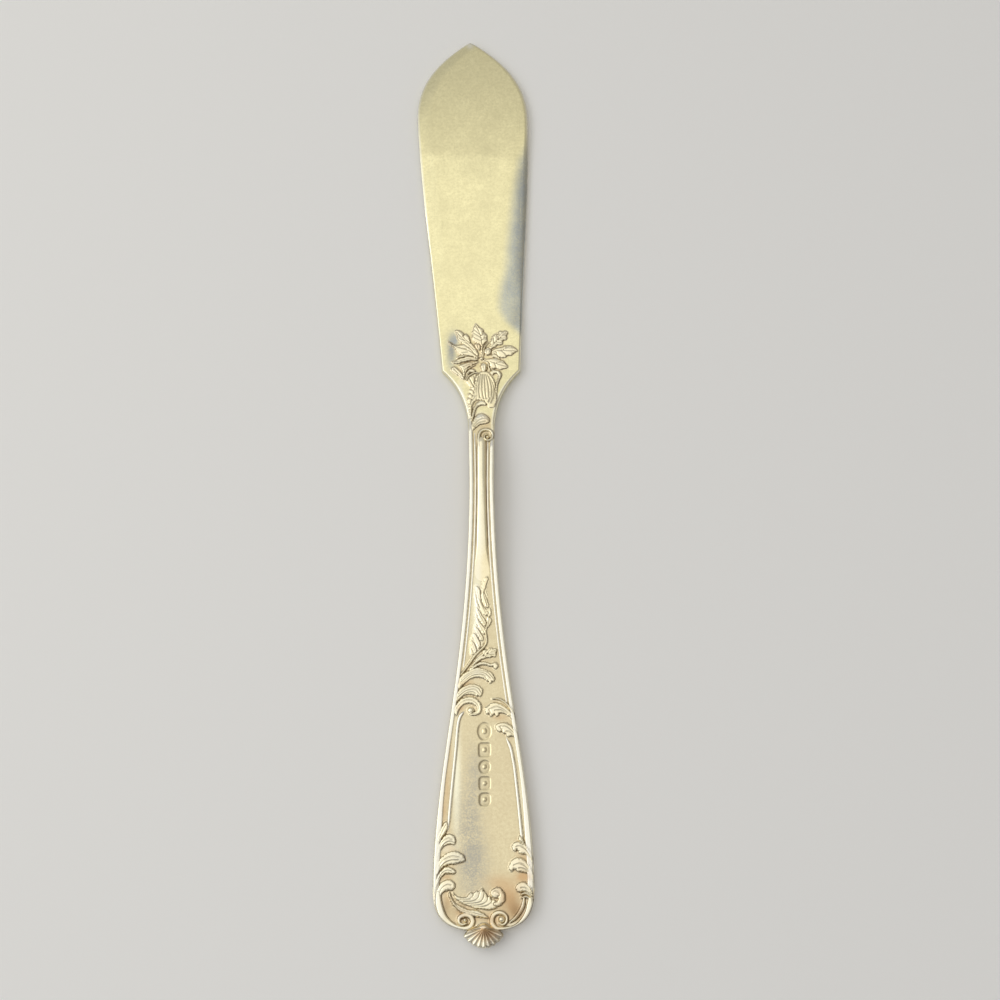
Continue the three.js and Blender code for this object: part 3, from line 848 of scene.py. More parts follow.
    def colours(self, x: Array, y: Array) -> Array:
        """Gives the wear and the painted light at places as a colour attribute.

        Args:
            x: Places across.
            y: Places along.

        Returns:
            Rows of patina with painted shade, warm filming, grey filming with the painted reflection, and
            worn-bright silver with painted highlights.
        """
        warm, grey, rubbed_and_highlight, dusk = (
            sum(stain.cover(x, y) for stain in group)
            for group in (self.warm, self.grey, self.rubbed_and_highlight, self.dusk)
        )
        # Painted highlight on the relief's tops, with some polish from use.
        crest = self.crest * smoothstep(PLATE.read(PLATE.height, x, y), 0.12, 0.3)
        films_and_light = (
            warm + self.recess_warmth * PLATE.read(PLATE.recess, x, y),
            grey + self.strip(x, y),
            rubbed_and_highlight + self.edges(x, y) + crest,
        )
        # Painted shade: the blade darkens past the tip line; it goes into the patina channel.
        dull = self.tip_shade * smoothstep(y + 0.05 * x, self.tip_line, self.tip_line + self.tip_fade)
        tarnish_and_shade = np.clip(PLATE.read(PLATE.cavity, x, y) + dull + dusk, 0.0, 1.0)
        return np.stack([tarnish_and_shade, *(np.clip(film_and_light, 0.0, 1.0) for film_and_light in films_and_light)], axis=-1)


WEAR_AND_PAINTED_LIGHT = WearAndPaintedLight()


@dataclass(frozen=True)
class NodeKit:
    """Adds and links the nodes of one material."""

    tree: bpy.types.NodeTree

    def add(self, kind: str, **values: object) -> bpy.types.Node:
        """Adds a node and sets its properties.

        Args:
            kind: Name of the node's type.
            values: Properties to set.

        Returns:
            The node.
        """
        node = self.tree.nodes.new(kind)
        for name, value in values.items():
            setattr(node, name, value)
        return node

    def link(self, source: Socket, target: Socket) -> None:
        """Links one socket to another."""
        self.tree.links.new(source, target)

    def noise(self, vector: Socket, scale: float, detail: float, rough: float) -> Socket:
        """Adds a noise texture.

        Args:
            vector: Where it is read.
            scale: Waves in a metre.
            detail: Octaves.
            rough: Weight of the finer octaves.

        Returns:
            Its value.
        """
        node = self.add("ShaderNodeTexNoise")
        node.inputs["Scale"].default_value = scale
        node.inputs["Detail"].default_value = detail
        node.inputs["Roughness"].default_value = rough
        self.link(vector, node.inputs["Vector"])
        return node.outputs["Fac"]

    def ramp(self, value: Socket, low: float, high: float, to: Point = (0.0, 1.0)) -> Socket:
        """Maps a range of values to another and clamps it.

        Args:
            value: Value to map.
            low: Start of its range.
            high: End of its range.
            to: What the ends become.

        Returns:
            The mapped value.
        """
        node = self.add("ShaderNodeMapRange", clamp=True)
        for name, number in zip(("From Min", "From Max", "To Min", "To Max"), (low, high, *to)):
            node.inputs[name].default_value = number
        self.link(value, node.inputs["Value"])
        return node.outputs["Result"]

    def maths(self, operation: str, a: Socket, b: Socket | float) -> Socket:
        """Joins two values.

        Args:
            operation: Name of the operation.
            a: First value.
            b: Second value or a number.

        Returns:
            The result.
        """
        node = self.add("ShaderNodeMath", operation=operation)
        self.link(a, node.inputs[0])
        if isinstance(b, (int, float)):
            node.inputs[1].default_value = b
        else:
            self.link(b, node.inputs[1])
        return node.outputs[0]

    def blend(self, share: Socket, a: Socket | Colour, b: Socket | Colour) -> Socket:
        """Blends two colours.

        Args:
            share: How much of the second shows.
            a: First colour.
            b: Second colour.

        Returns:
            The blended colour.
        """
        node = self.add("ShaderNodeMix", data_type="RGBA")
        self.link(share, node.inputs["Factor"])
        colours = [socket for socket in node.inputs if socket.type == "RGBA"]
        for socket, colour in zip(colours, (a, b)):
            if isinstance(colour, tuple):
                socket.default_value = (*colour, 1.0)
            else:
                self.link(colour, socket)
        return next(socket for socket in node.outputs if socket.type == "RGBA")


@dataclass(frozen=True)
class SilverFinish:
    """Worn silver plate: its polish, scratches, filming and patina, with the painted shade, reflection and
    highlights that its colour attribute carries.
    """

    name: str
    slot: str
    silver: Colour
    dull: Colour
    roughness: float
    scratch: float
    tarnish_and_shade: float = 1.0
    brown: Colour = (0.1, 0.06, 0.024)
    warm: Colour = (0.62, 0.385, 0.19)
    grey: Colour = (0.52, 0.49, 0.41)
    rubbed_and_highlight: Colour = (0.97, 0.94, 0.78)
    patchy: float = 0.1
    mottled: float = 0.5
    cloud_scale: float = 260.0
    grain_scale: float = 1900.0
    speckle_scale: float = 3600.0
    bump_depth: float = 0.000006
    scratch_runs: tuple[Point, ...] = ((14.0, 3800.0), (-27.0, 4600.0), (71.0, 4200.0))
    scratch_length: float = 90.0
    noise_range: Point = (0.36, 0.66)
    scratch_range: Point = (0.66, 0.76)
    warm_cover: float = 0.8
    scratch_dulling: float = 0.3
    cloud_roughness: float = 0.06
    scratch_roughness: float = 0.08
    crust_roughness: float = 0.2
    grain_height: float = 0.4

    def material(self) -> bpy.types.Material:
        """Builds the finish's node material.

        Returns:
            The material.
        """
        made = bpy.data.materials.new(self.name)
        made.use_nodes = True
        kit = NodeKit(made.node_tree)
        shader = made.node_tree.nodes["Principled BSDF"]
        shader.inputs["Metallic"].default_value = 1.0
        place = kit.add("ShaderNodeTexCoord").outputs["Object"]
        films_and_light = kit.add("ShaderNodeAttribute", attribute_name=WEAR_AND_LIGHT)
        split = kit.add("ShaderNodeSeparateColor")
        kit.link(films_and_light.outputs["Color"], split.inputs["Color"])
        # Red is patina with painted shade, green warm filming, blue grey filming with the painted
        # reflection; alpha is worn-bright silver with painted highlights.
        tarnish_and_shade, warm, grey = split.outputs["Red"], split.outputs["Green"], split.outputs["Blue"]
        cloud = kit.noise(place, self.cloud_scale, 5.0, 0.62)
        grain = kit.noise(place, self.grain_scale, 3.0, 0.6)
        mottle = kit.ramp(cloud, *self.noise_range)
        speckle = kit.ramp(kit.noise(place, self.speckle_scale, 2.0, 0.6), 0.38, 0.66)
        lines = self.scratches(kit, place)
        colour = kit.blend(kit.ramp(mottle, 0.0, 1.0, (0.0, 0.5)), self.silver, self.dull)
        colour = kit.blend(kit.ramp(grain, *self.noise_range, (0.0, self.mottled)), colour, self.dull)
        colour = kit.blend(films_and_light.outputs["Alpha"], colour, self.rubbed_and_highlight)
        patches = kit.ramp(kit.maths("ADD", speckle, mottle), 0.3, 1.5, (self.patchy, 1.0))
        # Grey filming together with the painted reflection strip, broken up by patches.
        film_and_light = kit.maths("MULTIPLY", grey, patches)
        colour = kit.blend(film_and_light, colour, self.grey)
        colour = kit.blend(kit.maths("MULTIPLY", warm, self.warm_cover), colour, self.warm)
        colour = kit.blend(kit.maths("MULTIPLY", lines, self.scratch_dulling), colour, self.dull)
        # Brown patina, together with the painted shade in the red channel.
        crust = kit.maths("MULTIPLY", tarnish_and_shade, kit.ramp(cloud, 0.25, 0.7, (0.8, 1.0)))
        crust = kit.maths("MULTIPLY", crust, self.tarnish_and_shade)
        colour = kit.blend(crust, colour, self.brown)
        kit.link(colour, shader.inputs["Base Color"])
        rough = kit.ramp(mottle, 0.0, 1.0, (self.roughness, self.roughness + self.cloud_roughness))
        rough = kit.maths("ADD", rough, kit.maths("MULTIPLY", lines, self.scratch_roughness))
        rough = kit.maths("ADD", rough, kit.maths("MULTIPLY", crust, self.crust_roughness))
        kit.link(rough, shader.inputs["Roughness"])
        relief = kit.maths("SUBTRACT", kit.maths("MULTIPLY", grain, self.grain_height), lines)
        bump = kit.add("ShaderNodeBump")
        bump.inputs["Strength"].default_value = self.scratch
        bump.inputs["Distance"].default_value = self.bump_depth
        kit.link(relief, bump.inputs["Height"])
        kit.link(bump.outputs["Normal"], shader.inputs["Normal"])
        return made

    def scratches(self, kit: NodeKit, place: Socket) -> Socket:
        """Draws fine scratches in three directions.

        Args:
            kit: The material's nodes.
            place: Where they are read.

        Returns:
            The scratches, 1 in each line.
        """
        total: Socket | None = None
        for turn, fine in self.scratch_runs:
            mapping = kit.add("ShaderNodeMapping", vector_type="POINT")
            mapping.inputs["Rotation"].default_value = (0.0, 0.0, math.radians(turn))
            mapping.inputs["Scale"].default_value = (fine, self.scratch_length, self.scratch_length)
            kit.link(place, mapping.inputs["Vector"])
            line = kit.ramp(kit.noise(mapping.outputs["Vector"], 1.0, 2.0, 0.5), *self.scratch_range)
            total = line if total is None else kit.maths("MAXIMUM", total, line)
        assert total is not None
        return total


class Finish(Enum):
    """Finishes of the knife's parts."""

    # On the blade the grey colour shows mostly as the painted reflection strip along its back.
    BLADE = SilverFinish(
        "satin_blade_silver", "blade_silver", (0.96, 0.885, 0.54), (0.8, 0.735, 0.445), 0.14, 0.4,
        grey=(0.45, 0.485, 0.49), patchy=0.7, mottled=0.8,
    )
    HANDLE = SilverFinish(
        "handle_ground_silver", "handle_silver", (0.8, 0.71, 0.46), (0.7, 0.6, 0.38), 0.15, 0.3,
        grey=(0.46, 0.435, 0.355), rubbed_and_highlight=(0.98, 0.94, 0.71), mottled=0.9,
    )
    # Thread silver is painted lighter than the handle's ground: a painted highlight on the beads, on top of
    # their polish.
    THREAD = SilverFinish(
        "thread_silver_painted_highlight", "thread_silver", (0.98, 0.96, 0.86), (0.93, 0.89, 0.74), 0.14, 0.12,
    )
    # Relief silver is painted lighter and warmer than the handle's ground, offsetting the shade on its
    # slopes.
    RELIEF = SilverFinish(
        "struck_relief_silver", "relief_silver", (1.0, 0.905, 0.62), (0.9, 0.79, 0.51), 0.16, 0.2,
        rubbed_and_highlight=(0.985, 0.945, 0.77),
    )


def loft_faces(rings: int, count: int) -> list[tuple[int, ...]]:
    """Numbers the faces of a closed loft.

    Args:
        rings: Number of rings.
        count: Points in each ring.

    Returns:
        Rings of point numbers, with the two end caps last.
    """
    index = np.arange(rings * count).reshape(rings, count)
    after = np.roll(index, -1, axis=1)
    quads = np.stack([index[:-1], after[:-1], after[1:], index[1:]], axis=-1).reshape(-1, 4)
    faces = [tuple(quad) for quad in quads.tolist()]
    return [*faces, tuple(index[0, ::-1].tolist()), tuple(index[-1].tolist())]


def disc_faces(spokes: int, count: int) -> tuple[Array, Array]:
    """Numbers the points and faces of a disc.

    Args:
        spokes: Number of spokes.
        count: Points along each spoke.

    Returns:
        The point numbers, one row for each spoke, and the faces between the spokes.
    """
    index = np.arange(spokes * count).reshape(spokes, count)
    after = np.roll(index, -1, axis=0)
    quads = np.stack([index[:, :-1], index[:, 1:], after[:, 1:], after[:, :-1]], axis=-1)
    return index, quads.reshape(-1, 4)


class Workshop:
    """Turns arrays into dressed pieces of the knife."""

    def __init__(self) -> None:
        """Makes the finishes and reads where the frame holds the handle's middle line."""
        low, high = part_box("handle")
        self.shift = (low.x + high.x) / 2
        self.materials = {finish: finish.value.material() for finish in Finish}
        self.pieces: list[bpy.types.Object] = []

    def piece(
        self,
        node: str,
        places: Array,
        faces: list[Sequence[int]],
        finish: Finish,
        sharp: int = 0,
        tarnish_and_shade: Array | None = None,
        worn: Array | float = 1.0,
    ) -> None:
        """Makes one piece that stands for a node of the frame.

        Args:
            node: The node it replaces.
            places: Rows of x, y and z in millimetres.
            faces: Rings of point numbers.
            finish: The finish it takes.
            sharp: Number of faces at the end of the list that meet the others at a sharp edge.
            tarnish_and_shade: Patina, with any painted shade, at each point, where the plate doesn't hold
                it.
            worn: Share of the face's wear and painted light that each point shows, 0 on the back.
        """
        mesh = bpy.data.meshes.new(f"dressed_{node}")
        metres = places * MM
        metres[:, 0] += self.shift
        mesh.from_pydata(metres.tolist(), [], faces)
        mesh.polygons.foreach_set("use_smooth", np.ones(len(mesh.polygons), bool))
        if sharp:
            caps = {tuple(sorted(key)) for polygon in mesh.polygons[-sharp:] for key in polygon.edge_keys}
            flags = [tuple(sorted(edge.vertices)) in caps for edge in mesh.edges]
            mesh.attributes.new("sharp_edge", "BOOLEAN", "EDGE").data.foreach_set("value", flags)
        films_and_light = mesh.attributes.new(WEAR_AND_LIGHT, "FLOAT_COLOR", "POINT")
        colours = WEAR_AND_PAINTED_LIGHT.colours(places[:, 0], places[:, 1])
        if tarnish_and_shade is not None:
            colours[:, 0] = tarnish_and_shade
        colours *= np.reshape(worn, (-1, 1))
        films_and_light.data.foreach_set("color", colours.ravel())
        mesh.validate()
        mesh.materials.append(self.materials[finish])
        made = bpy.data.objects.new(f"dressed_{node}", mesh)
        bpy.context.scene.collection.objects.link(made)
        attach(made, BODY)
        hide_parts(node)
        self.pieces.append(made)
        counts = len(mesh.vertices), len(mesh.polygons)
        LOG.info("%s: %d points, %d faces, %s", made.name, *counts, finish.name)


@dataclass
class Body:
    """Blade or handle: a fine loft over stations along the knife."""

    node: str
    finish: Finish
    columns: int = 96
    rolled: float = 0.5
    roll_columns: int = 7
    back_stride: int = 6
    seam: float = 0.03

    def stations(self) -> Array:
        """Returns the places of the loft's rings."""
        raise NotImplementedError

    def across(self, y: Array) -> Array:
        """Lays the columns of the upper face over each station.

        Args:
            y: Places of the stations.

        Returns:
            Places across, one row for each station.
        """
        half = KNIFE.half_width(y)[:, None]
        roll = np.minimum(self.rolled, 0.4 * half)
        edge = 1.0 - np.cos(np.linspace(0.0, math.pi / 2, self.roll_columns + 1))[None, :]
        inner = np.linspace(-1.0, 1.0, self.columns + 1)[None, 1:-1]
        left = -half + roll * edge
        return KNIFE.middle(y)[:, None] + np.hstack([left, inner * (half - roll), -left[:, ::-1]])

    def build(self, shop: Workshop) -> None:
        """Makes the body.

        Args:
            shop: The workshop that keeps the piece.
        """
        y = self.stations()
        x = self.across(y)
        rows = np.repeat(y[:, None], x.shape[1], axis=1)
        top = np.stack([x, rows, KNIFE.ground(x, rows)], axis=-1)
        last = x.shape[1]
        edges = np.r_[0 : self.roll_columns + 1, last - self.roll_columns - 1 : last]
        keep = np.unique(np.r_[edges, self.roll_columns : last : self.back_stride])
        below_x, below_y = x[:, keep[::-1]], rows[:, keep[::-1]]
        lift = self.below(below_x, below_y)
        bottom = np.stack([below_x, below_y, lift], axis=-1)
        rings = np.concatenate([top, bottom], axis=1)
        faces = loft_faces(*rings.shape[:2])
        face = np.zeros(rings.shape[:2])
        face[:, 1 : x.shape[1] - 1] = 1.0
        shop.piece(self.node, rings.reshape(-1, 3), faces, self.finish, sharp=2, worn=face.ravel())

    def below(self, x: Array, y: Array) -> Array:
        """Gives the height of the underside with its eased edges.

        Args:
            x: Places across.
            y: Places along.

        Returns:
            Heights of the underside.
        """
        inset = np.clip(KNIFE.half_width(y) - np.abs(x - KNIFE.middle(y)), 0.0, None)
        chamfer = KNIFE.chamfer
        short = np.clip(chamfer - inset, 0.0, chamfer)
        plain = chamfer - np.sqrt(chamfer**2 - short**2)
        return KNIFE.underside(y) + mix(plain, KNIFE.bevels(*KNIFE.insets(x, y)), KNIFE.on_blade(y))


@dataclass
class Blade(Body):
    """Spear-shaped blade with its neck."""

    node: str = "blade"
    finish: Finish = Finish.BLADE
    fine_step: float = 0.17
    plain_step: float = 0.6
    fine_to: float = 28.5
    point_run: float = 8.0
    point_rings: int = 36

    def stations(self) -> Array:
        """Sets close rings under the flower spray and wider ones to the tip.

        Returns:
            Places of the rings.
        """
        fine = np.arange(KNIFE.parting + self.seam, self.fine_to, self.fine_step)
        plain = np.arange(self.fine_to, KNIFE.tip - self.point_run, self.plain_step)
        left = (1.0 - np.linspace(0.0, 1.0, self.point_rings)) ** 1.5
        return np.concatenate([fine, plain, KNIFE.tip - self.point_run * left])


@dataclass
class Handle(Body):
    """Stem, flare and rounded end."""

    node: str = "handle"
    finish: Finish = Finish.HANDLE
    step: float = 0.17
    end_run: float = 4.0
    even_from: float = 4.1
    end_rings: int = 40

    def stations(self) -> Array:
        """Sets even rings that close up towards the rounded end.

        Returns:
            Places of the rings.
        """
        turned = np.linspace(0.04, math.pi / 2, self.end_rings)
        end = KNIFE.end + self.end_run * (1.0 - np.cos(turned))
        seam = KNIFE.parting + self.seam
        return np.concatenate([end, np.arange(KNIFE.end + self.even_from, seam, self.step), [seam]])


@dataclass
class Relief:
    """One struck ornament: strokes laid one over another on the plate."""

    node: str
    strokes: Sequence[Stroke]
    finish: Finish = Finish.RELIEF
    groove: float = 0.12
    groove_width: float = 0.13
    least: float = 0.03
    floor: float = 0.3
    overlap: float = 0.05
    edge_gap: float = 0.06
    edge_slope: float = 2.0
    shown_from: float = -0.02

    def strike(self) -> None:
        """Works out the ornament's heights and raises the plate to them."""
        lean = np.array((0.0, 0.0, -1.0, 0.2))
        boxes = np.array([stroke.box() for stroke in self.strokes]) + lean
        whole = (boxes[:, 0].min(), boxes[:, 1].max(), boxes[:, 2].min(), boxes[:, 3].max())
        self.rows, self.columns = PLATE.window(whole)
        self.y, self.x = np.meshgrid(PLATE.ys[self.rows], PLATE.xs[self.columns], indexing="ij")
        heights = np.full(self.x.shape, -PLATE.sink)
        for stroke in self.strokes:
            rows, columns = PLATE.window(stroke.box() + lean)
            patch = (
                slice(rows.start - self.rows.start, rows.stop - self.rows.start),
                slice(columns.start - self.columns.start, columns.stop - self.columns.start),
            )
            raised, outside = stroke.heights(self.x[patch], KNIFE.drawn(self.y[patch]))
            beyond = np.clip(outside, 0.0, None) / self.groove_width
            carved = self.groove * np.exp(-(beyond**2)) * (outside > -self.overlap)
            under = heights[patch]
            under = np.where(under > self.least, np.maximum(under - carved, self.least), under)
            heights[patch] = np.maximum(under, np.maximum(raised, -PLATE.sink))
        inset = KNIFE.half_width(self.y) - np.abs(self.x - KNIFE.middle(self.y))
        most = (inset - self.edge_gap) * self.edge_slope
        self.heights = np.maximum(np.minimum(heights, most), -PLATE.sink)
        PLATE.strike(self.rows, self.columns, np.maximum(self.heights, 0.0))

    def cells(self) -> Array:
        """Finds the grid's cells that the ornament needs.

        Returns:
            A mask of cells with no two that touch only at a corner.
        """
        up = self.heights > self.shown_from
        used = up[:-1, :-1] | up[1:, :-1] | up[:-1, 1:] | up[1:, 1:]
        for _ in range(4):
            a, b, c, d = used[:-1, :-1], used[:-1, 1:], used[1:, :-1], used[1:, 1:]
            slash = a & d & ~b & ~c
            back = b & c & ~a & ~d
            used[:-1, 1:] |= slash
            used[:-1, :-1] |= back
        return used

    def build(self, shop: Workshop) -> None:
        """Makes the ornament as a closed mesh that sinks a little into its ground.

        Args:
            shop: The workshop that keeps the piece.
        """
        used = self.cells()
        width = self.x.shape[1]
        row, column = np.nonzero(used)
        corner = row * width + column
        quads = np.stack([corner, corner + 1, corner + width + 1, corner + width], axis=-1)
        numbers, packed = np.unique(quads, return_inverse=True)
        quads = packed.reshape(quads.shape)
        x, y = self.x.ravel()[numbers], self.y.ravel()[numbers]
        ground = KNIFE.ground(x, y)
        top = np.stack([x, y, ground + self.heights.ravel()[numbers]], axis=-1)
        bottom = np.stack([x, y, ground - self.floor], axis=-1)
        count = len(numbers)
        padded = np.pad(used, 1)
        centre = (row + 1, column + 1)
        walls = []
        sides = {(-1, 0): (0, 1), (0, 1): (1, 2), (1, 0): (2, 3), (0, -1): (3, 0)}
        for (down, over), (first, second) in sides.items():
            open_side = ~padded[centre[0] + down, centre[1] + over]
            a, b = quads[open_side, first], quads[open_side, second]
            walls.append(np.stack([b, a, a + count, b + count], axis=-1))
        faces = np.vstack([quads, quads[:, ::-1] + count, *walls])
        shop.piece(self.node, np.vstack([top, bottom]), faces.tolist(), self.finish)


@dataclass
class Thread:
    """A drawn moulding: a rounded thread swept along the face."""

    node: str
    path: Array
    widths: Array
    rise: Array
    finish: Finish = Finish.THREAD
    sides: int = 14
    power: float = 2.0
    shade: float = 0.3
    sink: float = 0.03
    floor: float = 0.3

    def strike(self) -> None:
        """Raises the plate along the thread."""
        PLATE.strike_thread(self.path, self.widths, self.rise * self.shade, self.power)

    def build(self, shop: Workshop) -> None:
        """Makes the thread as a closed sweep.

        Args:
            shop: The workshop that keeps the piece.
        """
        along = np.gradient(self.path, axis=0)
        along /= np.linalg.norm(along, axis=1)[:, None]
        side = np.stack([-along[:, 1], along[:, 0]], axis=-1)
        beside = np.cos(np.linspace(0.0, math.pi, self.sides + 1))
        crest = np.sqrt(np.clip(1.0 - np.abs(beside) ** self.power, 0.0, 1.0))
        reach = self.widths[:, None] * beside[None, :]
        places = self.path[:, None, :] + side[:, None, :] * reach[..., None]
        ground = KNIFE.ground(places[..., 0], places[..., 1])
        crown = ground + self.rise[:, None] * crest - self.sink
        top = np.concatenate([places, crown[..., None]], axis=-1)
        foot = ground[:, [-1, 0]] - self.floor
        low = np.concatenate([places[:, [-1, 0]], foot[..., None]], axis=-1)
        rings = np.concatenate([top, low], axis=1)
        shop.piece(self.node, rings.reshape(-1, 3), loft_faces(*rings.shape[:2]), self.finish, sharp=2)


class Side(Enum):
    """Hands of the knife as it lies."""

    LEFT = -1
    RIGHT = 1


@dataclass
class BladeOrnament:
    """Spray of leaves in its fluted cup, with the frond and leaf of the neck."""

    bud_dome: float = 0.2
    cup_rise: float = 0.14
    cup_dome: float = 0.05

    def spray(self) -> Relief:
        """Draws the flower spray.

        Returns:
            The ornament.
        """
        south_west = Form(
            ((-0.7, 18.6), (-1.7, 18.4), (-2.6, 18.35), (-3.5, 18.1), (-4.2, 17.6), (-3.9, 17.2),
             (-3.6, 16.5), (-3.5, 15.6), (-3.15, 15.6), (-3.2, 16.6), (-3.0, 17.1), (-2.4, 17.4),
             (-1.6, 17.9), (-0.8, 18.2)),
            (((-1.0, 18.35), (-2.4, 18.0), (-3.4, 17.5)),),
        )
        west_low = Form(
            ((-0.6, 19.2), (-1.5, 19.5), (-2.6, 19.7), (-3.5, 19.3), (-4.4, 19.1), (-5.0, 18.7),
             (-5.6, 18.55), (-5.2, 18.2), (-4.4, 18.2), (-3.6, 18.5), (-2.6, 18.7), (-1.8, 18.85),
             (-0.9, 18.8)),
            (((-1.0, 19.05), (-2.8, 19.15), (-4.6, 18.55)),),
        )
        west = Form(
            ((-0.8, 20.4), (-1.6, 21.2), (-2.4, 21.9), (-3.5, 22.45), (-3.6, 22.15), (-4.3, 21.95),
             (-5.0, 22.0), (-5.5, 22.2), (-6.35, 22.75), (-6.0, 22.1), (-5.5, 21.75), (-5.0, 21.3),
             (-4.9, 20.9), (-4.4, 20.3), (-3.8, 19.95), (-3.0, 20.0), (-2.4, 19.75), (-1.6, 19.6),
             (-0.8, 19.3), (-0.5, 19.4)),
            (((-0.7, 19.6), (-2.2, 20.8), (-4.2, 21.5), (-5.8, 22.2)), ((-2.8, 21.05), (-4.2, 21.7)),
             ((-2.6, 20.6), (-3.6, 20.4))),
        )
        north_west = Form(
            ((-0.5, 19.9), (-0.9, 21.0), (-1.5, 21.8), (-2.0, 22.5), (-2.5, 23.2), (-3.0, 23.8),
             (-3.5, 24.5), (-4.2, 25.0), (-4.95, 25.05), (-4.85, 24.5), (-4.6, 23.9), (-4.5, 23.3),
             (-4.0, 22.7), (-3.4, 22.35), (-2.8, 21.9), (-2.0, 21.2), (-1.3, 20.4), (-0.7, 19.8)),
            (((-1.4, 21.1), (-3.2, 23.0), (-4.7, 24.8)), ((-2.6, 22.4), (-3.7, 22.7)),
             ((-3.2, 23.0), (-4.2, 23.5))),
        )
        side_lobe = Form(
            ((-2.1, 22.5), (-2.2, 23.2), (-2.5, 23.9), (-2.95, 24.3), (-3.3, 24.1), (-3.35, 23.7),
             (-2.9, 23.2), (-2.5, 22.8)),
        )
        north_east = Form(
            ((1.4, 21.2), (1.9, 22.0), (1.9, 22.7), (2.1, 23.3), (2.3, 23.8), (2.9, 24.3), (3.2, 24.1),
             (3.2, 23.7), (3.4, 24.5), (3.8, 24.85), (4.2, 24.7), (4.6, 24.9), (5.15, 24.75),
             (5.2, 24.4), (4.95, 24.0), (5.0, 23.5), (4.9, 23.1), (4.3, 23.0), (4.1, 22.6),
             (4.15, 22.25), (3.7, 22.0), (3.2, 22.05), (2.7, 21.6), (2.2, 21.3), (1.7, 20.9)),
            (((1.4, 21.0), (2.6, 22.4), (3.9, 23.6), (4.9, 24.5)), ((2.6, 22.4), (2.5, 23.5)),
             ((3.4, 23.1), (3.7, 24.4)), ((3.0, 22.7), (3.9, 22.5)), ((3.8, 23.5), (4.7, 23.5))),
        )
        east = Form(
            ((2.0, 20.4), (2.4, 21.0), (3.1, 21.3), (4.0, 21.4), (4.6, 21.8), (5.1, 21.75), (5.7, 21.75),
             (6.3, 21.5), (7.05, 20.8), (6.6, 20.45), (6.15, 20.2), (6.0, 19.9), (5.4, 19.8),
             (4.95, 19.75), (4.8, 19.4), (4.3, 19.3), (3.7, 19.45), (3.4, 19.4), (3.3, 19.8),
             (2.8, 20.1), (2.3, 20.2)),
            (((2.2, 20.5), (3.8, 20.9), (5.2, 20.8), (6.7, 20.8)), ((4.0, 20.8), (4.8, 20.1)),
             ((4.4, 21.0), (5.1, 21.6)), ((3.0, 20.5), (3.35, 19.7))),
        )
        south_east = Form(
            ((0.5, 19.1), (1.3, 18.95), (2.0, 19.15), (2.8, 19.25), (3.4, 19.0), (3.9, 18.75),
             (4.3, 18.6), (4.6, 18.2), (5.15, 17.5), (4.9, 17.15), (4.2, 17.05), (3.9, 16.85),
             (3.4, 16.95), (2.9, 17.15), (2.3, 17.1), (1.9, 17.35), (1.6, 17.9), (1.2, 18.5),
             (0.7, 18.85)),
            (((1.0, 18.9), (2.2, 18.4), (3.6, 17.9), (4.9, 17.5)), ((1.4, 18.6), (1.9, 17.6)),
             ((2.6, 18.2), (3.0, 17.4)), ((3.0, 18.2), (3.8, 18.6))),
        )
        north = Form(
            ((0.35, 21.9), (0.55, 22.3), (1.15, 22.85), (1.05, 23.4), (1.1, 23.9), (0.85, 24.4),
             (0.45, 24.75), (0.4, 25.1), (0.1, 25.45), (-0.5, 25.85), (-1.0, 26.4), (-1.25, 25.9),
             (-1.5, 25.2), (-1.65, 24.6), (-1.55, 24.1), (-1.7, 23.5), (-1.5, 23.0), (-0.9, 22.6),
             (-0.3, 22.2), (0.05, 21.8), (0.05, 20.5), (0.0, 19.6), (0.25, 19.6), (0.35, 20.5)),
            (((0.2, 19.7), (0.25, 22.0), (0.1, 23.5), (-0.4, 25.0), (-1.0, 26.2)),
             ((0.05, 22.9), (-1.3, 23.6)), ((0.0, 23.6), (-1.4, 24.6)), ((-0.2, 24.3), (-1.3, 25.3)),
             ((0.2, 23.1), (0.9, 23.6)), ((0.0, 24.0), (0.6, 24.5))),
        )
        lower_bud = Form(
            ((0.0, 17.9), (0.5, 18.2), (1.0, 17.9), (1.1, 17.2), (0.9, 16.6), (0.4, 16.4), (0.05, 16.7),
             (-0.05, 17.3)),
            (((0.5, 17.9), (0.5, 16.9)),),
            dome=self.bud_dome,
        )
        north_bud = Form(
            ((-0.15, 21.1), (-0.1, 21.9), (-0.4, 22.4), (-0.9, 22.45), (-1.2, 22.0), (-1.1, 21.5),
             (-0.6, 21.0)),
            (((-0.5, 21.3), (-0.7, 22.2)),),
        )
        east_bud = Form(
            ((0.8, 20.1), (0.65, 20.7), (0.9, 21.2), (1.4, 21.4), (1.85, 21.1), (1.95, 20.5),
             (1.6, 20.0), (1.2, 19.9)),
            (((1.2, 20.2), (1.25, 21.1)),),
            dome=0.16,
        )
        between = Form(
            ((-0.6, 19.35), (-1.4, 19.85), (-2.4, 20.15), (-3.4, 20.05), (-4.2, 19.75), (-4.6, 19.3),
             (-3.6, 19.45), (-2.6, 19.7), (-1.5, 19.5), (-0.7, 19.15)),
        )
        curl = Form(
            ((-2.9, 16.0), (-2.5, 16.7), (-1.9, 17.05), (-1.3, 16.85), (-1.2, 16.45), (-1.6, 16.3),
             (-2.1, 16.4), (-2.5, 16.0)),
        )
        under = Form(
            ((-0.5, 18.4), (-1.2, 17.75), (-1.9, 17.35), (-2.6, 16.9), (-3.0, 16.2), (-3.15, 15.5),
             (-3.4, 16.4), (-3.1, 17.2), (-2.4, 17.75), (-1.4, 18.1)),
            (((-0.9, 18.15), (-2.2, 17.5), (-3.1, 16.4)),),
        )
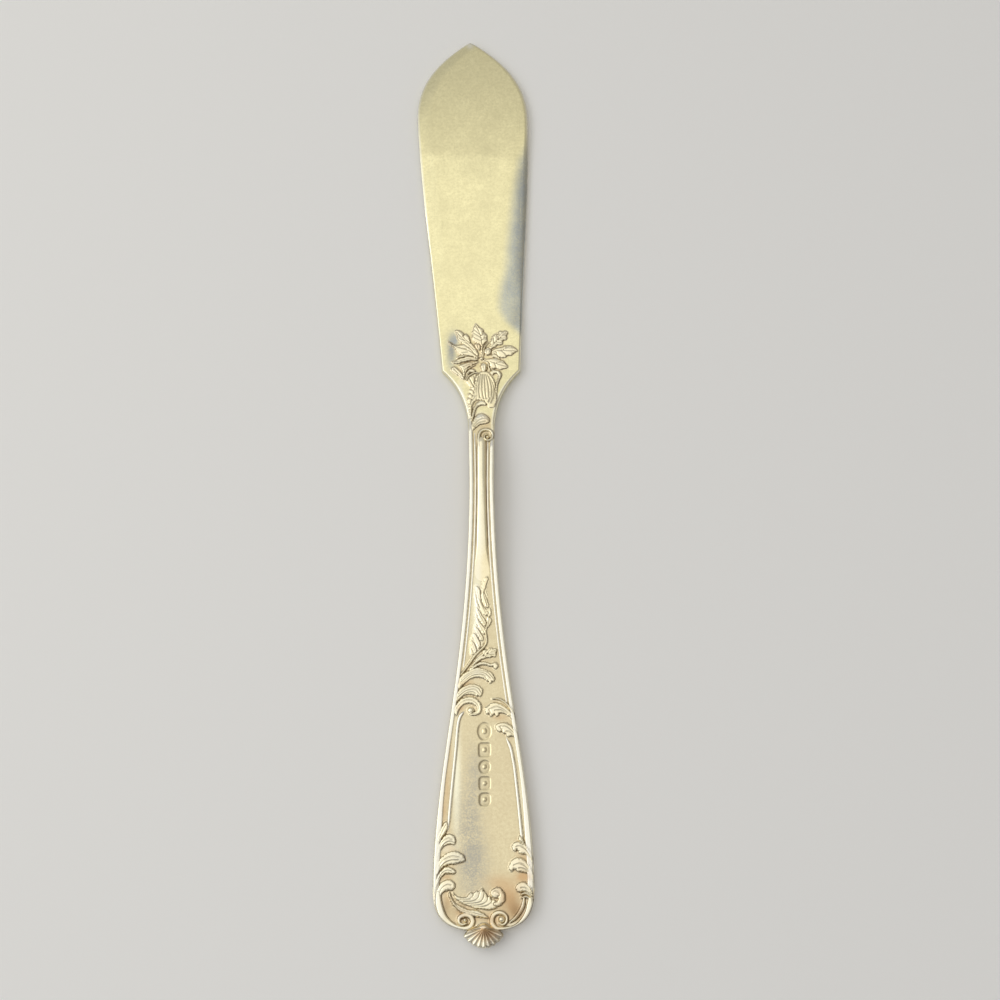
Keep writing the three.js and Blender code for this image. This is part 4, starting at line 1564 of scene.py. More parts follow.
        spur = Form(
            ((2.1, 19.9), (2.5, 20.15), (3.1, 20.0), (3.5, 19.4), (3.6, 18.95), (3.0, 19.2),
             (2.4, 19.35), (2.0, 19.5)),
            (((2.3, 19.75), (3.2, 19.4)),),
        )
        fillers = [between, under, curl, spur, north_bud]
        buds = [east_bud, Bead((0.1, 19.2), 0.42, 0.42, 0.0, 0.28)]
        stem = Ridge(((0.4, 18.8), (1.3, 18.2), (1.4, 17.4), (1.7, 16.8)), (0.14, 0.18, 0.18, 0.14), 0.24)
        leaves = [south_west, west_low, west, north_west, side_lobe, north_east, east, south_east, north]
        stalk = Ridge(((0.35, 19.5), (0.5, 20.8), (0.8, 21.8), (1.5, 22.5)), (0.1, 0.15, 0.15, 0.1), 0.2)
        return Relief("flower_spray", [*fillers, *leaves, stem, stalk, lower_bud, *buds])

    def cup(self) -> Relief:
        """Draws the fluted calyx.

        Returns:
            The ornament.
        """
        side = Form(
            ((-1.3, 16.3), (-2.0, 15.95), (-2.65, 15.5), (-3.0, 14.8), (-2.8, 14.2), (-2.2, 13.5),
             (-1.5, 12.9), (-1.15, 12.2), (-0.85, 11.4), (-0.4, 11.5), (-0.5, 13.0), (-0.6, 14.6),
             (-0.7, 15.8)),
            (((-2.2, 15.1), (-1.6, 13.8), (-1.0, 12.4)), ((-1.3, 15.5), (-1.0, 13.9), (-0.8, 12.2))),
            rise=0.12, dome=0.03, edge=0.24,
        )
        fan = Form(
            ((-0.1, 16.3), (0.6, 16.5), (1.3, 16.35), (1.9, 15.7), (2.5, 14.5), (2.8, 13.2),
             (2.95, 12.0), (3.0, 11.0), (2.85, 10.0), (2.45, 9.25), (1.9, 9.05), (1.4, 9.25), (1.1, 9.8),
             (0.7, 10.35), (0.2, 10.6), (-0.4, 10.6), (-1.0, 10.8), (-1.35, 11.7), (-1.3, 13.0),
             (-1.15, 14.4), (-0.8, 15.6)),
            (((-0.35, 15.6), (-0.75, 14.2), (-0.95, 12.7), (-0.95, 11.5)),
             ((0.0, 15.9), (-0.3, 14.5), (-0.4, 12.8), (-0.25, 11.1)),
             ((0.35, 15.9), (0.2, 14.3), (0.25, 12.5), (0.5, 10.9)),
             ((0.65, 15.9), (0.75, 14.2), (0.85, 12.4), (1.0, 10.9)),
             ((0.95, 15.9), (1.3, 14.4), (1.5, 12.6), (1.5, 11.2)),
             ((1.25, 15.8), (1.8, 14.5), (2.1, 12.9), (2.0, 11.3)),
             ((1.6, 15.5), (2.25, 14.1), (2.55, 12.6), (2.4, 11.0)), ((2.3, 10.9), (1.9, 10.0)),
             ((1.8, 11.1), (1.4, 10.2))),
            rise=self.cup_rise, dome=self.cup_dome, cut=0.08,
        )
        lip = Form(
            ((1.7, 16.3), (2.2, 16.75), (2.9, 16.75), (3.4, 16.6), (3.75, 16.2), (3.9, 15.7),
             (3.75, 15.2), (3.45, 14.6), (3.2, 13.8), (3.05, 12.8), (2.95, 12.0), (2.8, 13.0),
             (2.9, 13.9), (3.15, 14.6), (3.25, 15.2), (3.2, 15.8), (2.9, 16.1), (2.5, 16.0), (2.2, 15.6),
             (1.9, 15.9)),
        )
        rim = Ridge(((-2.9, 14.7), (-2.3, 15.6), (-1.3, 16.2), (-0.6, 16.1)), (0.12, 0.18, 0.18, 0.1), 0.26)
        return Relief("calyx", [side, fan, lip, rim])

    def frond(self) -> Relief:
        """Draws the slim frond and its quill.

        Returns:
            The ornament.
        """
        slim = Form(
            ((-1.95, 5.5), (-1.85, 7.5), (-1.8, 9.2), (-1.35, 10.2), (-0.8, 10.7), (-0.7, 12.0),
             (-0.85, 13.4), (-1.2, 14.0), (-1.45, 13.75), (-1.4, 13.4), (-1.85, 13.25), (-1.75, 12.8),
             (-2.2, 12.55), (-2.0, 12.1), (-2.45, 11.7), (-2.25, 11.2), (-2.6, 10.7), (-2.4, 10.0),
             (-2.3, 8.6), (-2.15, 7.0)),
            (((-2.05, 9.8), (-1.6, 11.4), (-1.1, 13.2)), ((-1.8, 10.7), (-2.2, 11.1)),
             ((-1.6, 11.5), (-2.0, 12.0)), ((-1.35, 12.3), (-1.7, 12.8)), ((-1.75, 10.6), (-1.1, 11.6))),
            rise=0.14, dome=0.04, cut=0.07,
        )
        quill = Form(
            ((-5.0, 17.45), (-4.3, 16.8), (-3.7, 16.0), (-3.3, 15.2), (-3.6, 14.9), (-4.4, 15.7),
             (-5.2, 16.2), (-5.75, 16.9), (-5.5, 17.4)),
            (((-5.2, 17.0), (-3.9, 15.6)),),
        )
        return Relief("neck_frond", [slim, quill])

    def leaf(self) -> Relief:
        """Draws the comma-shaped leaf and the curl above it.

        Returns:
            The ornament.
        """
        curl = Form(
            ((-1.9, 6.8), (-1.7, 8.0), (-1.3, 9.2), (-0.6, 10.2), (0.2, 10.5), (0.85, 10.1), (0.9, 9.5),
             (0.3, 9.55), (-0.4, 9.4), (-0.9, 8.9), (-1.2, 8.1), (-1.5, 7.0), (-1.75, 6.0)),
        )
        comma = Form(
            ((-1.95, 4.9), (-1.75, 5.9), (-1.3, 6.9), (-0.7, 7.5), (0.1, 7.75), (0.8, 7.5), (1.35, 7.0),
             (1.6, 6.5), (1.35, 6.0), (0.9, 5.75), (0.3, 5.65), (-0.2, 5.6), (-0.8, 5.2), (-1.3, 4.7),
             (-1.6, 4.4)),
            (((-1.5, 5.3), (-0.6, 6.4), (0.3, 6.9)), ((-1.2, 5.2), (-0.2, 6.0), (0.8, 6.3))),
            dome=0.1,
        )
        return Relief("neck_leaf", [curl, comma])

    def parts(self) -> list[Relief]:
        """Returns the ornaments of the blade's root."""
        return [self.spray(), self.cup(), self.frond(), self.leaf()]


@dataclass
class StemMouldings:
    """Volute, rib and threads of the stem and flare, with the threads that frame the panel."""

    rim_inset: float = 0.05
    rim_width: float = 0.8
    rim_rise: float = 0.27
    rim_swell: float = 0.2
    thread_inset: float = 1.04
    thread_width: float = 0.34
    thread_rise: float = 0.17
    rib_half: float = 0.84
    rib_rise: float = 0.34
    border_half: float = 0.27
    border_rise: float = 0.18
    thread_fades: Point = (2.6, 1.6)
    rib_ends: Point = (2.4, -27.0)
    step: float = 0.3

    def volute(self) -> Relief:
        """Draws the volute that starts the mouldings.

        Returns:
            The ornament.
        """
        lead = ((-0.45, 1.2), (-0.55, 2.6), (-0.35, 3.8), (0.2, 4.4), (1.0, 4.55), (1.8, 4.2), (2.1, 3.4))
        winding = ((1.8, 2.6), (1.1, 2.35), (0.6, 2.8), (0.65, 3.4), (1.05, 3.6))
        widths = (0.3, 0.3, 0.3, 0.3, 0.3, 0.29, 0.27, 0.25, 0.22, 0.2, 0.18, 0.15)
        return Relief("neck_volute", [Ridge((*lead, *winding), widths), Bead((1.15, 3.05), 0.32, 0.32)])

    def edge(self, node: str, side: Side, inset: float, width: float, rise: float, ends: Point) -> Thread:
        """Draws a thread that follows the edge.

        Args:
            node: The node it stands for.
            side: Hand of the knife.
            inset: Distance from the edge to the thread.
            width: Its width.
            rise: Its height.
            ends: Its first and last place.

        Returns:
            The thread.
        """
        y = np.arange(ends[0], ends[1], -self.step)
        first, last = self.thread_fades
        fade = np.clip(np.minimum((y[0] - y) / first, (y - y[-1]) / last) + 0.03, 0.0, 1.0)
        full = width / 2 + self.rim_swell * smoothstep(-y, 60.0, 73.0)
        x = side.value * (KNIFE.half_width(y) - inset - full)
        widths = full * (0.5 + 0.5 * fade)
        return Thread(node, np.stack([x, y], axis=-1), widths, rise * fade, power=4.0)

    def rib(self) -> Thread:
        """Draws the rounded rib that dies out above the branch.

        Returns:
            The moulding.
        """
        y = np.arange(*self.rib_ends, -self.step)
        half = self.rib_half + 0.2 * smoothstep(-y, 8.0, 20.0) + 0.7 * smoothstep(-y, 19.0, 27.0)
        rise = self.rib_rise * (1.0 - 0.93 * smoothstep(-y, 15.5, 26.5))
        start = smoothstep(2.6 - y, 0.0, 1.2)
        path = np.stack([np.zeros_like(y), y], axis=-1)
        widths, heights = half * (0.6 + 0.4 * start), rise * (0.3 + 0.7 * start)
        return Thread("stem_rib", path, widths, heights, Finish.RELIEF, sides=22, shade=1.0)

    def border(self, node: str, points: Sequence[Point]) -> Thread:
        """Draws a thread that frames the panel.

        Args:
            node: The node it stands for.
            points: Places along it.

        Returns:
            The thread.
        """
        path = spline(points, 12)
        number = np.arange(len(path))
        fade = np.clip(np.minimum(number, number[::-1]) / 8.0 + 0.2, 0.0, 1.0)
        widths = np.full(len(path), self.border_half) * fade
        return Thread(node, path, widths, self.border_rise * fade, shade=0.9)

    def parts(self) -> list[Relief | Thread]:
        """Draws the mouldings from the neck to the panel.

        Returns:
            The mouldings.
        """
        rim = (self.rim_inset, self.rim_width, self.rim_rise)
        inner = (self.thread_inset, self.thread_width, self.thread_rise)
        left = (
            (-3.3, -49.4), (-4.05, -50.3), (-4.5, -52.0), (-4.85, -56.0), (-5.25, -60.0), (-5.85, -66.0),
            (-6.2, -70.4),
        )
        right = (
            (4.2, -54.2), (4.95, -56.0), (5.35, -58.0), (5.65, -60.0), (6.25, -66.0), (6.6, -70.0),
            (6.85, -72.4),
        )
        return [
            self.volute(),
            self.rib(),
            self.edge("rim_thread_left", Side.LEFT, *rim, (6.5, -81.5)),
            self.edge("rim_thread_right", Side.RIGHT, *rim, (2.9, -81.5)),
            self.edge("inner_thread_left", Side.LEFT, *inner, (3.6, -41.8)),
            self.edge("inner_thread_right", Side.RIGHT, *inner, (2.2, -49.0)),
            self.border("panel_border_left", left),
            self.border("panel_border_right", right),
        ]


@dataclass
class FlareOrnament:
    """Laurel branch, flame leaves, plumes, scroll and acanthus between the stem and the panel."""

    stem_rise: float = 0.24
    plume_dome: float = 0.11

    def branch(self) -> Relief:
        """Draws the laurel branch.

        Returns:
            The ornament.
        """
        stem = Ridge(
            ((-3.9, -42.6), (-2.6, -40.9), (-1.2, -38.9), (0.3, -37.5), (0.75, -36.4), (0.6, -34.6),
             (1.1, -32.8), (1.0, -31.0), (0.4, -28.6)),
            (0.14, 0.2, 0.22, 0.22, 0.2, 0.2, 0.2, 0.18, 0.1),
            self.stem_rise,
        )
        outlines = (
            ((-2.05, -36.3), (-1.6, -36.9), (-1.3, -37.5), (-1.15, -38.3), (-1.4, -38.6), (-1.8, -37.8),
             (-2.05, -37.0)),
            ((-1.6, -35.1), (-1.1, -35.4), (-0.7, -36.2), (-0.4, -37.0), (-0.5, -37.7), (-0.8, -37.7),
             (-1.2, -36.7), (-1.5, -35.9)),
            ((-1.3, -33.9), (-0.8, -34.3), (-0.3, -35.0), (0.05, -35.7), (0.1, -36.3), (-0.2, -36.4),
             (-0.7, -35.6), (-1.1, -34.8)),
            ((-0.95, -32.3), (-0.5, -32.9), (0.0, -33.5), (0.45, -34.2), (0.5, -34.9), (0.2, -35.2),
             (-0.2, -34.6), (-0.6, -33.8), (-0.9, -33.0)),
            ((1.0, -31.9), (1.5, -32.2), (1.7, -32.7), (1.4, -33.3), (1.05, -33.9), (0.8, -33.5),
             (0.8, -32.6)),
            ((-0.95, -30.4), (-0.6, -30.9), (-0.2, -31.6), (0.3, -32.3), (0.7, -33.0), (0.5, -33.6),
             (0.0, -33.2), (-0.5, -32.3), (-0.85, -31.3)),
            ((1.2, -29.6), (1.5, -30.6), (1.6, -31.3), (1.3, -31.9), (1.0, -31.3), (1.05, -30.3)),
            ((-1.05, -26.3), (-0.6, -26.5), (-0.35, -27.3), (-0.2, -28.4), (0.1, -29.6), (0.6, -30.5),
             (1.0, -31.2), (0.7, -31.7), (0.1, -31.2), (-0.4, -30.0), (-0.8, -28.6), (-1.0, -27.2)),
            ((0.85, -24.5), (1.05, -25.0), (0.75, -25.8), (0.45, -26.8), (0.35, -27.4), (0.6, -28.2),
             (1.0, -29.2), (1.2, -29.8), (0.9, -30.2), (0.3, -29.6), (0.0, -28.6), (-0.05, -27.4),
             (0.15, -26.2), (0.45, -25.2)),
        )
        veins = (
            ((-1.95, -36.5), (-1.3, -38.3)), ((-1.5, -35.3), (-0.6, -37.4)), ((-1.2, -34.1), (0.0, -36.1)),
            ((-0.85, -32.6), (0.3, -34.8)), ((1.3, -32.2), (1.0, -33.6)), ((-0.85, -30.7), (0.5, -33.2)),
            ((1.3, -29.9), (1.3, -31.7)), ((-0.9, -26.6), (-0.5, -28.4), (0.7, -31.2)),
            ((0.9, -24.8), (0.25, -26.9), (0.95, -29.8)),
        )
        leaves = [
            Form(outline, (vein,), rise=0.13, dome=0.05, edge=0.24, cut=0.06, grow=0.12)
            for outline, vein in zip(outlines, veins)
        ]
        foliage = Form(
            ((-2.1, -39.0), (-2.25, -37.4), (-2.05, -36.0), (-1.6, -35.0), (-1.45, -33.9),
             (-1.15, -32.9), (-1.25, -31.4), (-1.15, -29.9), (-1.35, -28.4), (-1.4, -27.2),
             (-1.35, -26.2), (-0.9, -25.9), (-0.5, -26.6), (0.05, -26.4), (0.25, -25.2), (0.7, -24.5),
             (0.95, -25.2), (0.7, -26.2), (0.65, -27.0), (1.0, -27.7), (0.8, -28.7), (1.2, -29.6),
             (1.1, -30.4), (1.5, -31.2), (1.25, -32.0), (1.45, -32.8), (0.95, -33.8), (0.65, -34.4),
             (0.75, -35.4), (0.4, -36.5), (-0.3, -37.6), (-1.2, -38.5)),
            rise=0.08, dome=0.03, edge=0.22,
        )
        return Relief("laurel_branch", [foliage, stem, *leaves])

    def flames(self) -> Relief:
        """Draws the two leaves under the branch.

        Returns:
            The ornament.
        """
        upper = Form(
            ((-2.0, -41.2), (-1.4, -40.2), (-0.7, -39.3), (0.0, -38.75), (0.15, -38.25), (0.55, -38.0),
             (0.9, -38.2), (1.15, -37.8), (1.65, -37.75), (1.9, -38.05), (2.3, -37.8), (2.65, -38.05),
             (2.4, -38.65), (2.5, -39.1), (2.2, -39.5), (1.7, -39.35), (1.4, -39.65), (0.9, -39.45),
             (0.4, -39.75), (-0.2, -39.9), (-1.0, -40.4)),
            (((-1.0, -40.0), (0.2, -39.2), (1.2, -38.75), (2.3, -38.3)), ((0.2, -39.2), (0.75, -38.35)),
             ((0.9, -38.9), (1.6, -38.0)), ((0.6, -39.3), (1.5, -39.05), (2.2, -39.1))),
        )
        lower = Form(
            ((-2.3, -41.5), (-1.2, -40.7), (-0.3, -40.35), (0.3, -40.3), (0.9, -40.45), (1.5, -40.7),
             (2.0, -40.5), (2.5, -40.5), (2.8, -40.8), (2.75, -41.3), (2.5, -41.7), (2.1, -41.6),
             (1.9, -41.2), (1.4, -41.2), (0.7, -40.95), (0.0, -40.9), (-0.8, -41.1), (-1.7, -41.7),
             (-2.4, -42.2)),
        )
        return Relief("flame_leaves", [lower, upper])

    def plumes(self) -> list[Relief]:
        """Draws the plumes that roll over from the left rim.

        Returns:
            The two ornaments.
        """
        upper = Form(
            ((-4.5, -44.6), (-4.2, -43.5), (-3.7, -42.7), (-3.0, -42.2), (-2.2, -41.8), (-0.9, -41.4),
             (0.1, -41.6), (1.0, -42.0), (1.7, -42.5), (2.15, -43.1), (2.2, -43.6), (1.95, -43.95),
             (1.7, -43.85), (1.55, -44.2), (1.3, -44.25), (1.1, -43.9), (0.75, -43.9), (0.5, -43.6),
             (0.0, -43.35), (-0.6, -43.15), (-1.3, -43.15), (-2.1, -43.4), (-2.9, -43.9), (-3.6, -44.5),
             (-4.3, -45.2)),
            (((-4.0, -44.2), (-2.5, -42.9), (-1.0, -42.2), (0.5, -42.4), (1.5, -43.3)),
             ((-3.6, -44.2), (-2.2, -43.1), (-0.8, -42.7), (0.3, -42.9), (1.0, -43.7)),
             ((-3.8, -43.5), (-2.8, -42.6), (-1.0, -41.85), (0.8, -42.1), (1.9, -43.2))),
            dome=self.plume_dome,
        )
        lower = Form(
            ((-5.0, -47.2), (-4.75, -46.2), (-4.2, -45.4), (-3.4, -44.8), (-2.4, -44.4), (-1.4, -44.45),
             (-0.7, -44.7), (-0.15, -45.2), (0.0, -45.7), (-0.15, -46.3), (-0.5, -46.75), (-0.85, -46.5),
             (-1.1, -46.7), (-1.4, -46.4), (-1.8, -46.3), (-2.4, -46.15), (-3.1, -46.3), (-3.8, -46.7),
             (-4.5, -47.4), (-4.9, -48.0)),
            (((-4.3, -46.1), (-3.2, -45.2), (-1.8, -44.8), (-0.7, -45.1), (-0.3, -45.8)),
             ((-4.5, -46.9), (-3.2, -45.8), (-2.0, -45.4), (-1.1, -45.5), (-0.5, -46.2)),
             ((-4.2, -47.0), (-3.0, -46.1), (-1.8, -45.9), (-1.2, -46.3))),
            dome=self.plume_dome,
        )
        return [Relief("upper_plume", [upper]), Relief("lower_plume", [lower])]

    def scroll(self) -> Relief:
        """Draws the scroll at the panel's upper left.

        Returns:
            The ornament.
        """
        band = Form(
            ((-5.2, -49.2), (-4.9, -48.3), (-4.2, -47.4), (-3.3, -46.85), (-2.3, -46.7), (-1.4, -46.95),
             (-0.7, -47.5), (-0.3, -48.2), (-0.25, -48.9), (-0.5, -49.6), (-1.0, -50.0), (-1.6, -50.1),
             (-2.2, -49.95), (-2.6, -49.5), (-2.65, -49.0), (-2.3, -48.75), (-2.0, -48.9), (-1.9, -49.3),
             (-1.5, -49.45), (-1.15, -49.2), (-1.1, -48.7), (-1.3, -48.3), (-1.8, -48.0), (-2.5, -47.85),
             (-3.2, -47.95), (-3.9, -48.5), (-4.4, -49.3), (-4.7, -50.0)),
            (((-4.6, -48.7), (-3.6, -47.6), (-2.3, -47.25), (-1.2, -47.7), (-0.7, -48.6), (-1.0, -49.5),
              (-1.7, -49.75)),),
        )
        return Relief("panel_scroll", [band, Bead((-2.15, -49.1), 0.64, 0.58, 0.0, 0.32)])

    def acanthus(self) -> Relief:
        """Draws the acanthus at the panel's upper right.

        Returns:
            The ornament.
        """
        line = Ridge(((1.7, -47.1), (2.9, -47.15), (4.1, -47.85), (5.1, -49.0), (5.8, -50.5)),
                     (0.08, 0.2, 0.23, 0.23, 0.14), 0.28)
        upper = Form(
            ((0.4, -48.9), (0.85, -48.5), (1.4, -48.0), (2.0, -47.85), (2.8, -47.85), (3.6, -48.2),
             (4.4, -48.8), (5.1, -49.6), (5.7, -50.5), (6.1, -51.3), (6.2, -52.0), (5.6, -51.2),
             (4.9, -50.4), (4.2, -49.9), (3.5, -49.7), (3.0, -49.7), (2.8, -50.1), (2.4, -50.3),
             (2.2, -49.8), (1.9, -50.0), (1.5, -50.25), (1.2, -50.1), (1.2, -49.7), (0.8, -49.9),
             (0.5, -49.6)),
            (((1.2, -49.0), (2.4, -48.5), (3.6, -48.8), (5.0, -50.0), (5.9, -51.3)),
             ((2.2, -49.2), (3.4, -49.2), (4.6, -49.9)), ((1.2, -49.1), (1.6, -49.8))),
            dome=self.plume_dome,
        )
        lower = Form(
            ((2.3, -52.1), (2.7, -51.6), (3.3, -51.4), (4.0, -51.4), (4.7, -51.7), (5.4, -52.3),
             (6.0, -53.1), (6.4, -53.9), (6.6, -54.8), (6.1, -54.3), (5.6, -53.9), (5.1, -53.75),
             (4.7, -54.0), (4.3, -53.9), (4.1, -53.4), (3.6, -53.3), (3.4, -52.95), (2.9, -53.1),
             (2.5, -52.7)),
            (((3.0, -52.1), (4.2, -52.0), (5.3, -52.9), (6.2, -54.1)),
             ((4.2, -53.0), (5.0, -53.1), (5.8, -53.9)), ((3.2, -52.2), (3.6, -52.9))),
            dome=self.plume_dome,
        )
        return Relief("panel_acanthus", [line, upper, lower])

    def parts(self) -> list[Relief]:
        """Returns the ornaments of the flare."""
        return [self.branch(), self.flames(), *self.plumes(), self.scroll(), self.acanthus()]


@dataclass
class EndOrnament:
    """Leaves, scrolls and shell of the rounded end."""

    leaf_rise: float = 0.18
    leaf_dome: float = 0.13
    scroll_rise: float = 0.3
    scroll_fullness: float = 4.6
    shell_ribs: int = 9
    rib_spokes: int = 28
    shell_rings: int = 26
    shell_hinge: float = 0.5
    shell_half_angle: float = 76.0
    shell_turn_in: float = 26.0
    shell_reach: float = 3.35
    shell_rise: float = 0.8
    shell_flute: float = 0.28
    shell_bulb: float = 0.3
    shell_underside: float = 0.3
    shell_crust: float = 0.7
    shell_outline: tuple[Point, ...] = (
        (0.0, 1.0), (40.0, 1.01), (70.0, 1.1), (78.0, 1.0), (90.0, 0.66), (105.0, 0.46), (130.0, 0.34),
        (180.0, 0.3),
    )

    def leaf(self, outline: Sequence[Point], *cuts: Sequence[Point]) -> Form:
        """Returns a leaf of the end with its cut lines."""
        return Form(outline, cuts, self.leaf_rise, self.leaf_dome)

    def left_leaves(self) -> Relief:
        """Draws the leaves along the left edge.

        Returns:
            The ornament.
        """
        bud = self.leaf(
            ((-8.1, -71.6), (-7.6, -70.3), (-7.1, -69.3), (-6.7, -68.8), (-6.3, -68.8), (-6.15, -69.3),
             (-6.3, -70.0), (-6.8, -70.9), (-7.3, -71.6), (-7.9, -72.6)),
            ((-7.7, -71.6), (-7.1, -70.4), (-6.6, -69.4)),
        )
        first = self.leaf(
            ((-8.35, -75.2), (-8.1, -73.8), (-7.7, -72.5), (-7.1, -71.5), (-6.4, -70.95), (-5.8, -70.85),
             (-5.2, -71.2), (-4.9, -71.8), (-5.0, -72.5), (-5.1, -72.75), (-5.9, -72.6), (-6.7, -72.8),
             (-7.3, -73.4), (-7.8, -74.3), (-8.2, -75.3)),
            ((-8.0, -74.2), (-7.2, -72.4), (-6.2, -71.6), (-5.4, -71.9)),
            ((-7.8, -74.2), (-7.0, -72.8), (-6.0, -72.2), (-5.2, -72.4)),
        )
        second = self.leaf(
            ((-8.5, -78.0), (-8.35, -76.8), (-7.9, -75.6), (-7.1, -74.7), (-6.2, -74.1), (-5.3, -73.85),
             (-4.4, -73.95), (-3.7, -74.35), (-3.25, -74.9), (-3.2, -75.4), (-3.5, -75.65),
             (-4.2, -75.8), (-5.0, -76.0), (-5.8, -76.05), (-6.6, -76.2), (-7.4, -76.7), (-8.0, -77.5),
             (-8.3, -78.4)),
            ((-8.1, -77.0), (-7.0, -75.4), (-5.6, -74.7), (-4.2, -74.9)),
            ((-7.9, -77.1), (-6.8, -75.9), (-5.6, -75.4), (-4.4, -75.4)),
        )
        third = self.leaf(
            ((-8.5, -80.2), (-8.3, -78.9), (-7.9, -77.8), (-7.2, -76.9), (-6.5, -76.45), (-5.8, -76.5),
             (-5.2, -76.9), (-4.75, -77.4), (-5.2, -77.6), (-5.9, -77.55), (-6.6, -77.6), (-7.2, -78.0),
             (-7.7, -78.7), (-8.1, -79.6)),
            ((-8.0, -79.0), (-7.2, -77.6), (-6.3, -77.1), (-5.5, -77.3)),
        )
        fourth = self.leaf(
            ((-8.3, -82.2), (-8.25, -81.2), (-8.0, -80.2), (-7.5, -79.3), (-6.8, -78.75), (-6.1, -78.65),
             (-5.5, -78.85), (-5.05, -79.3), (-4.95, -79.9), (-5.3, -80.35), (-5.9, -80.4),
             (-6.5, -80.5), (-7.1, -80.9), (-7.5, -81.5), (-7.9, -82.4)),
            ((-7.9, -81.3), (-7.2, -80.1), (-6.3, -79.5), (-5.6, -79.6)),
        )
        return Relief("side_leaves_left", [bud, first, third, second, fourth])

    def right_leaves(self) -> Relief:
        """Draws the leaves along the right edge.

        Returns:
            The ornament.
        """
        bud = self.leaf(
            ((7.6, -73.3), (7.2, -72.4), (6.8, -71.6), (6.45, -71.1), (6.2, -71.5), (6.2, -72.1),
             (6.6, -72.5)),
        )
        first = self.leaf(
            ((8.7, -75.8), (8.5, -74.7), (8.0, -73.7), (7.3, -72.9), (6.6, -72.4), (5.9, -72.3),
             (5.3, -72.6), (5.0, -73.1), (5.2, -73.7), (5.6, -73.9), (5.9, -73.6), (6.2, -74.0),
             (6.5, -74.4), (6.9, -74.4), (7.4, -74.5), (7.9, -75.1), (8.4, -76.0)),
            ((8.4, -74.9), (7.6, -73.7), (6.7, -73.1), (5.8, -73.1)),
        )
        second = self.leaf(
            ((8.8, -79.0), (8.7, -77.9), (8.3, -76.8), (7.6, -75.8), (6.8, -75.2), (6.0, -74.95),
             (5.2, -75.3), (4.7, -75.9), (4.4, -76.5), (4.6, -77.1), (4.95, -77.3), (5.3, -77.0),
             (5.7, -77.1), (6.0, -77.4), (6.4, -77.4), (6.9, -77.4), (7.6, -77.7), (8.2, -78.4),
             (8.6, -79.2)),
            ((8.4, -77.9), (7.4, -76.5), (6.4, -76.0), (5.3, -76.3)),
            ((8.2, -78.0), (7.2, -77.0), (6.2, -76.8)),
        )
        third = self.leaf(
            ((8.5, -82.0), (8.5, -81.0), (8.2, -80.1), (7.6, -79.4), (6.9, -79.15), (6.2, -79.3),
             (5.7, -79.8), (5.6, -80.3), (5.95, -80.75), (6.4, -80.85), (6.8, -80.7), (7.3, -80.9),
             (7.8, -81.4), (8.2, -82.1)),
            ((8.3, -81.2), (7.4, -80.2), (6.5, -80.1)),
        )
        collars = [
            Ridge(((6.5, -81.2), (7.3, -81.0), (8.2, -81.5)), (0.16, 0.22, 0.16), 0.3),
            Ridge(((6.6, -81.8), (7.4, -81.6), (8.2, -82.1)), (0.16, 0.2, 0.16), 0.28),
        ]
        return Relief("side_leaves_right", [bud, first, second, third, *collars])

    def sweeping_leaf(self) -> Relief:
        """Draws the leaf that sweeps across the end and rolls up.

        Returns:
            The ornament.
        """
        blade = self.leaf(
            ((-6.0, -80.6), (-5.4, -81.9), (-4.6, -82.8), (-3.6, -83.3), (-2.4, -83.7), (-1.2, -83.8),
             (-0.3, -84.2), (0.4, -84.7), (0.75, -85.1), (0.2, -85.1), (-0.8, -84.9), (-1.8, -84.8),
             (-3.0, -84.5), (-4.2, -83.9), (-5.2, -83.0), (-5.8, -82.0), (-6.1, -81.2)),
            ((-5.5, -81.9), (-4.2, -83.4), (-2.0, -84.2), (0.2, -84.8)),
        )
        feather = self.leaf(
            ((-5.4, -80.7), (-4.9, -81.3), (-4.0, -81.6), (-3.1, -81.6), (-2.6, -81.2), (-2.2, -80.8),
             (-1.7, -80.95), (-1.3, -80.6), (-0.8, -80.7), (-0.25, -80.1), (0.0, -80.6), (0.4, -80.9),
             (0.6, -81.5), (1.1, -81.5), (1.3, -82.0), (1.8, -82.1), (2.3, -82.4), (2.5, -83.0),
             (2.0, -83.5), (1.0, -83.7), (-0.2, -83.6), (-1.6, -83.4), (-3.0, -82.9), (-4.2, -82.3),
             (-5.0, -81.6)),
            ((-4.0, -82.0), (-2.6, -82.0), (-1.9, -81.5), (-1.6, -81.0)),
            ((-3.4, -82.4), (-1.8, -82.3), (-0.9, -81.7), (-0.6, -80.8)),
            ((-2.8, -82.7), (-1.0, -82.6), (-0.1, -82.0), (0.2, -80.9)),
            ((-2.2, -83.0), (-0.4, -82.9), (0.6, -82.3), (0.85, -81.6)),
            ((-1.6, -83.2), (0.2, -83.2), (1.2, -82.7), (1.6, -82.2)),
        )
        head = self.leaf(
            ((2.3, -80.0), (3.0, -80.2), (3.5, -80.8), (3.75, -81.5), (3.6, -82.3), (3.1, -82.9),
             (2.4, -83.2), (1.9, -82.8), (2.4, -82.3), (2.6, -81.9), (2.3, -81.7), (1.8, -81.8),
             (1.35, -81.4), (1.25, -80.8), (1.6, -80.3)),
            ((1.7, -80.9), (2.1, -80.6), (2.7, -80.9), (2.8, -81.4), (2.4, -81.7)),
        )
        return Relief("end_leaf", [blade, feather, head])

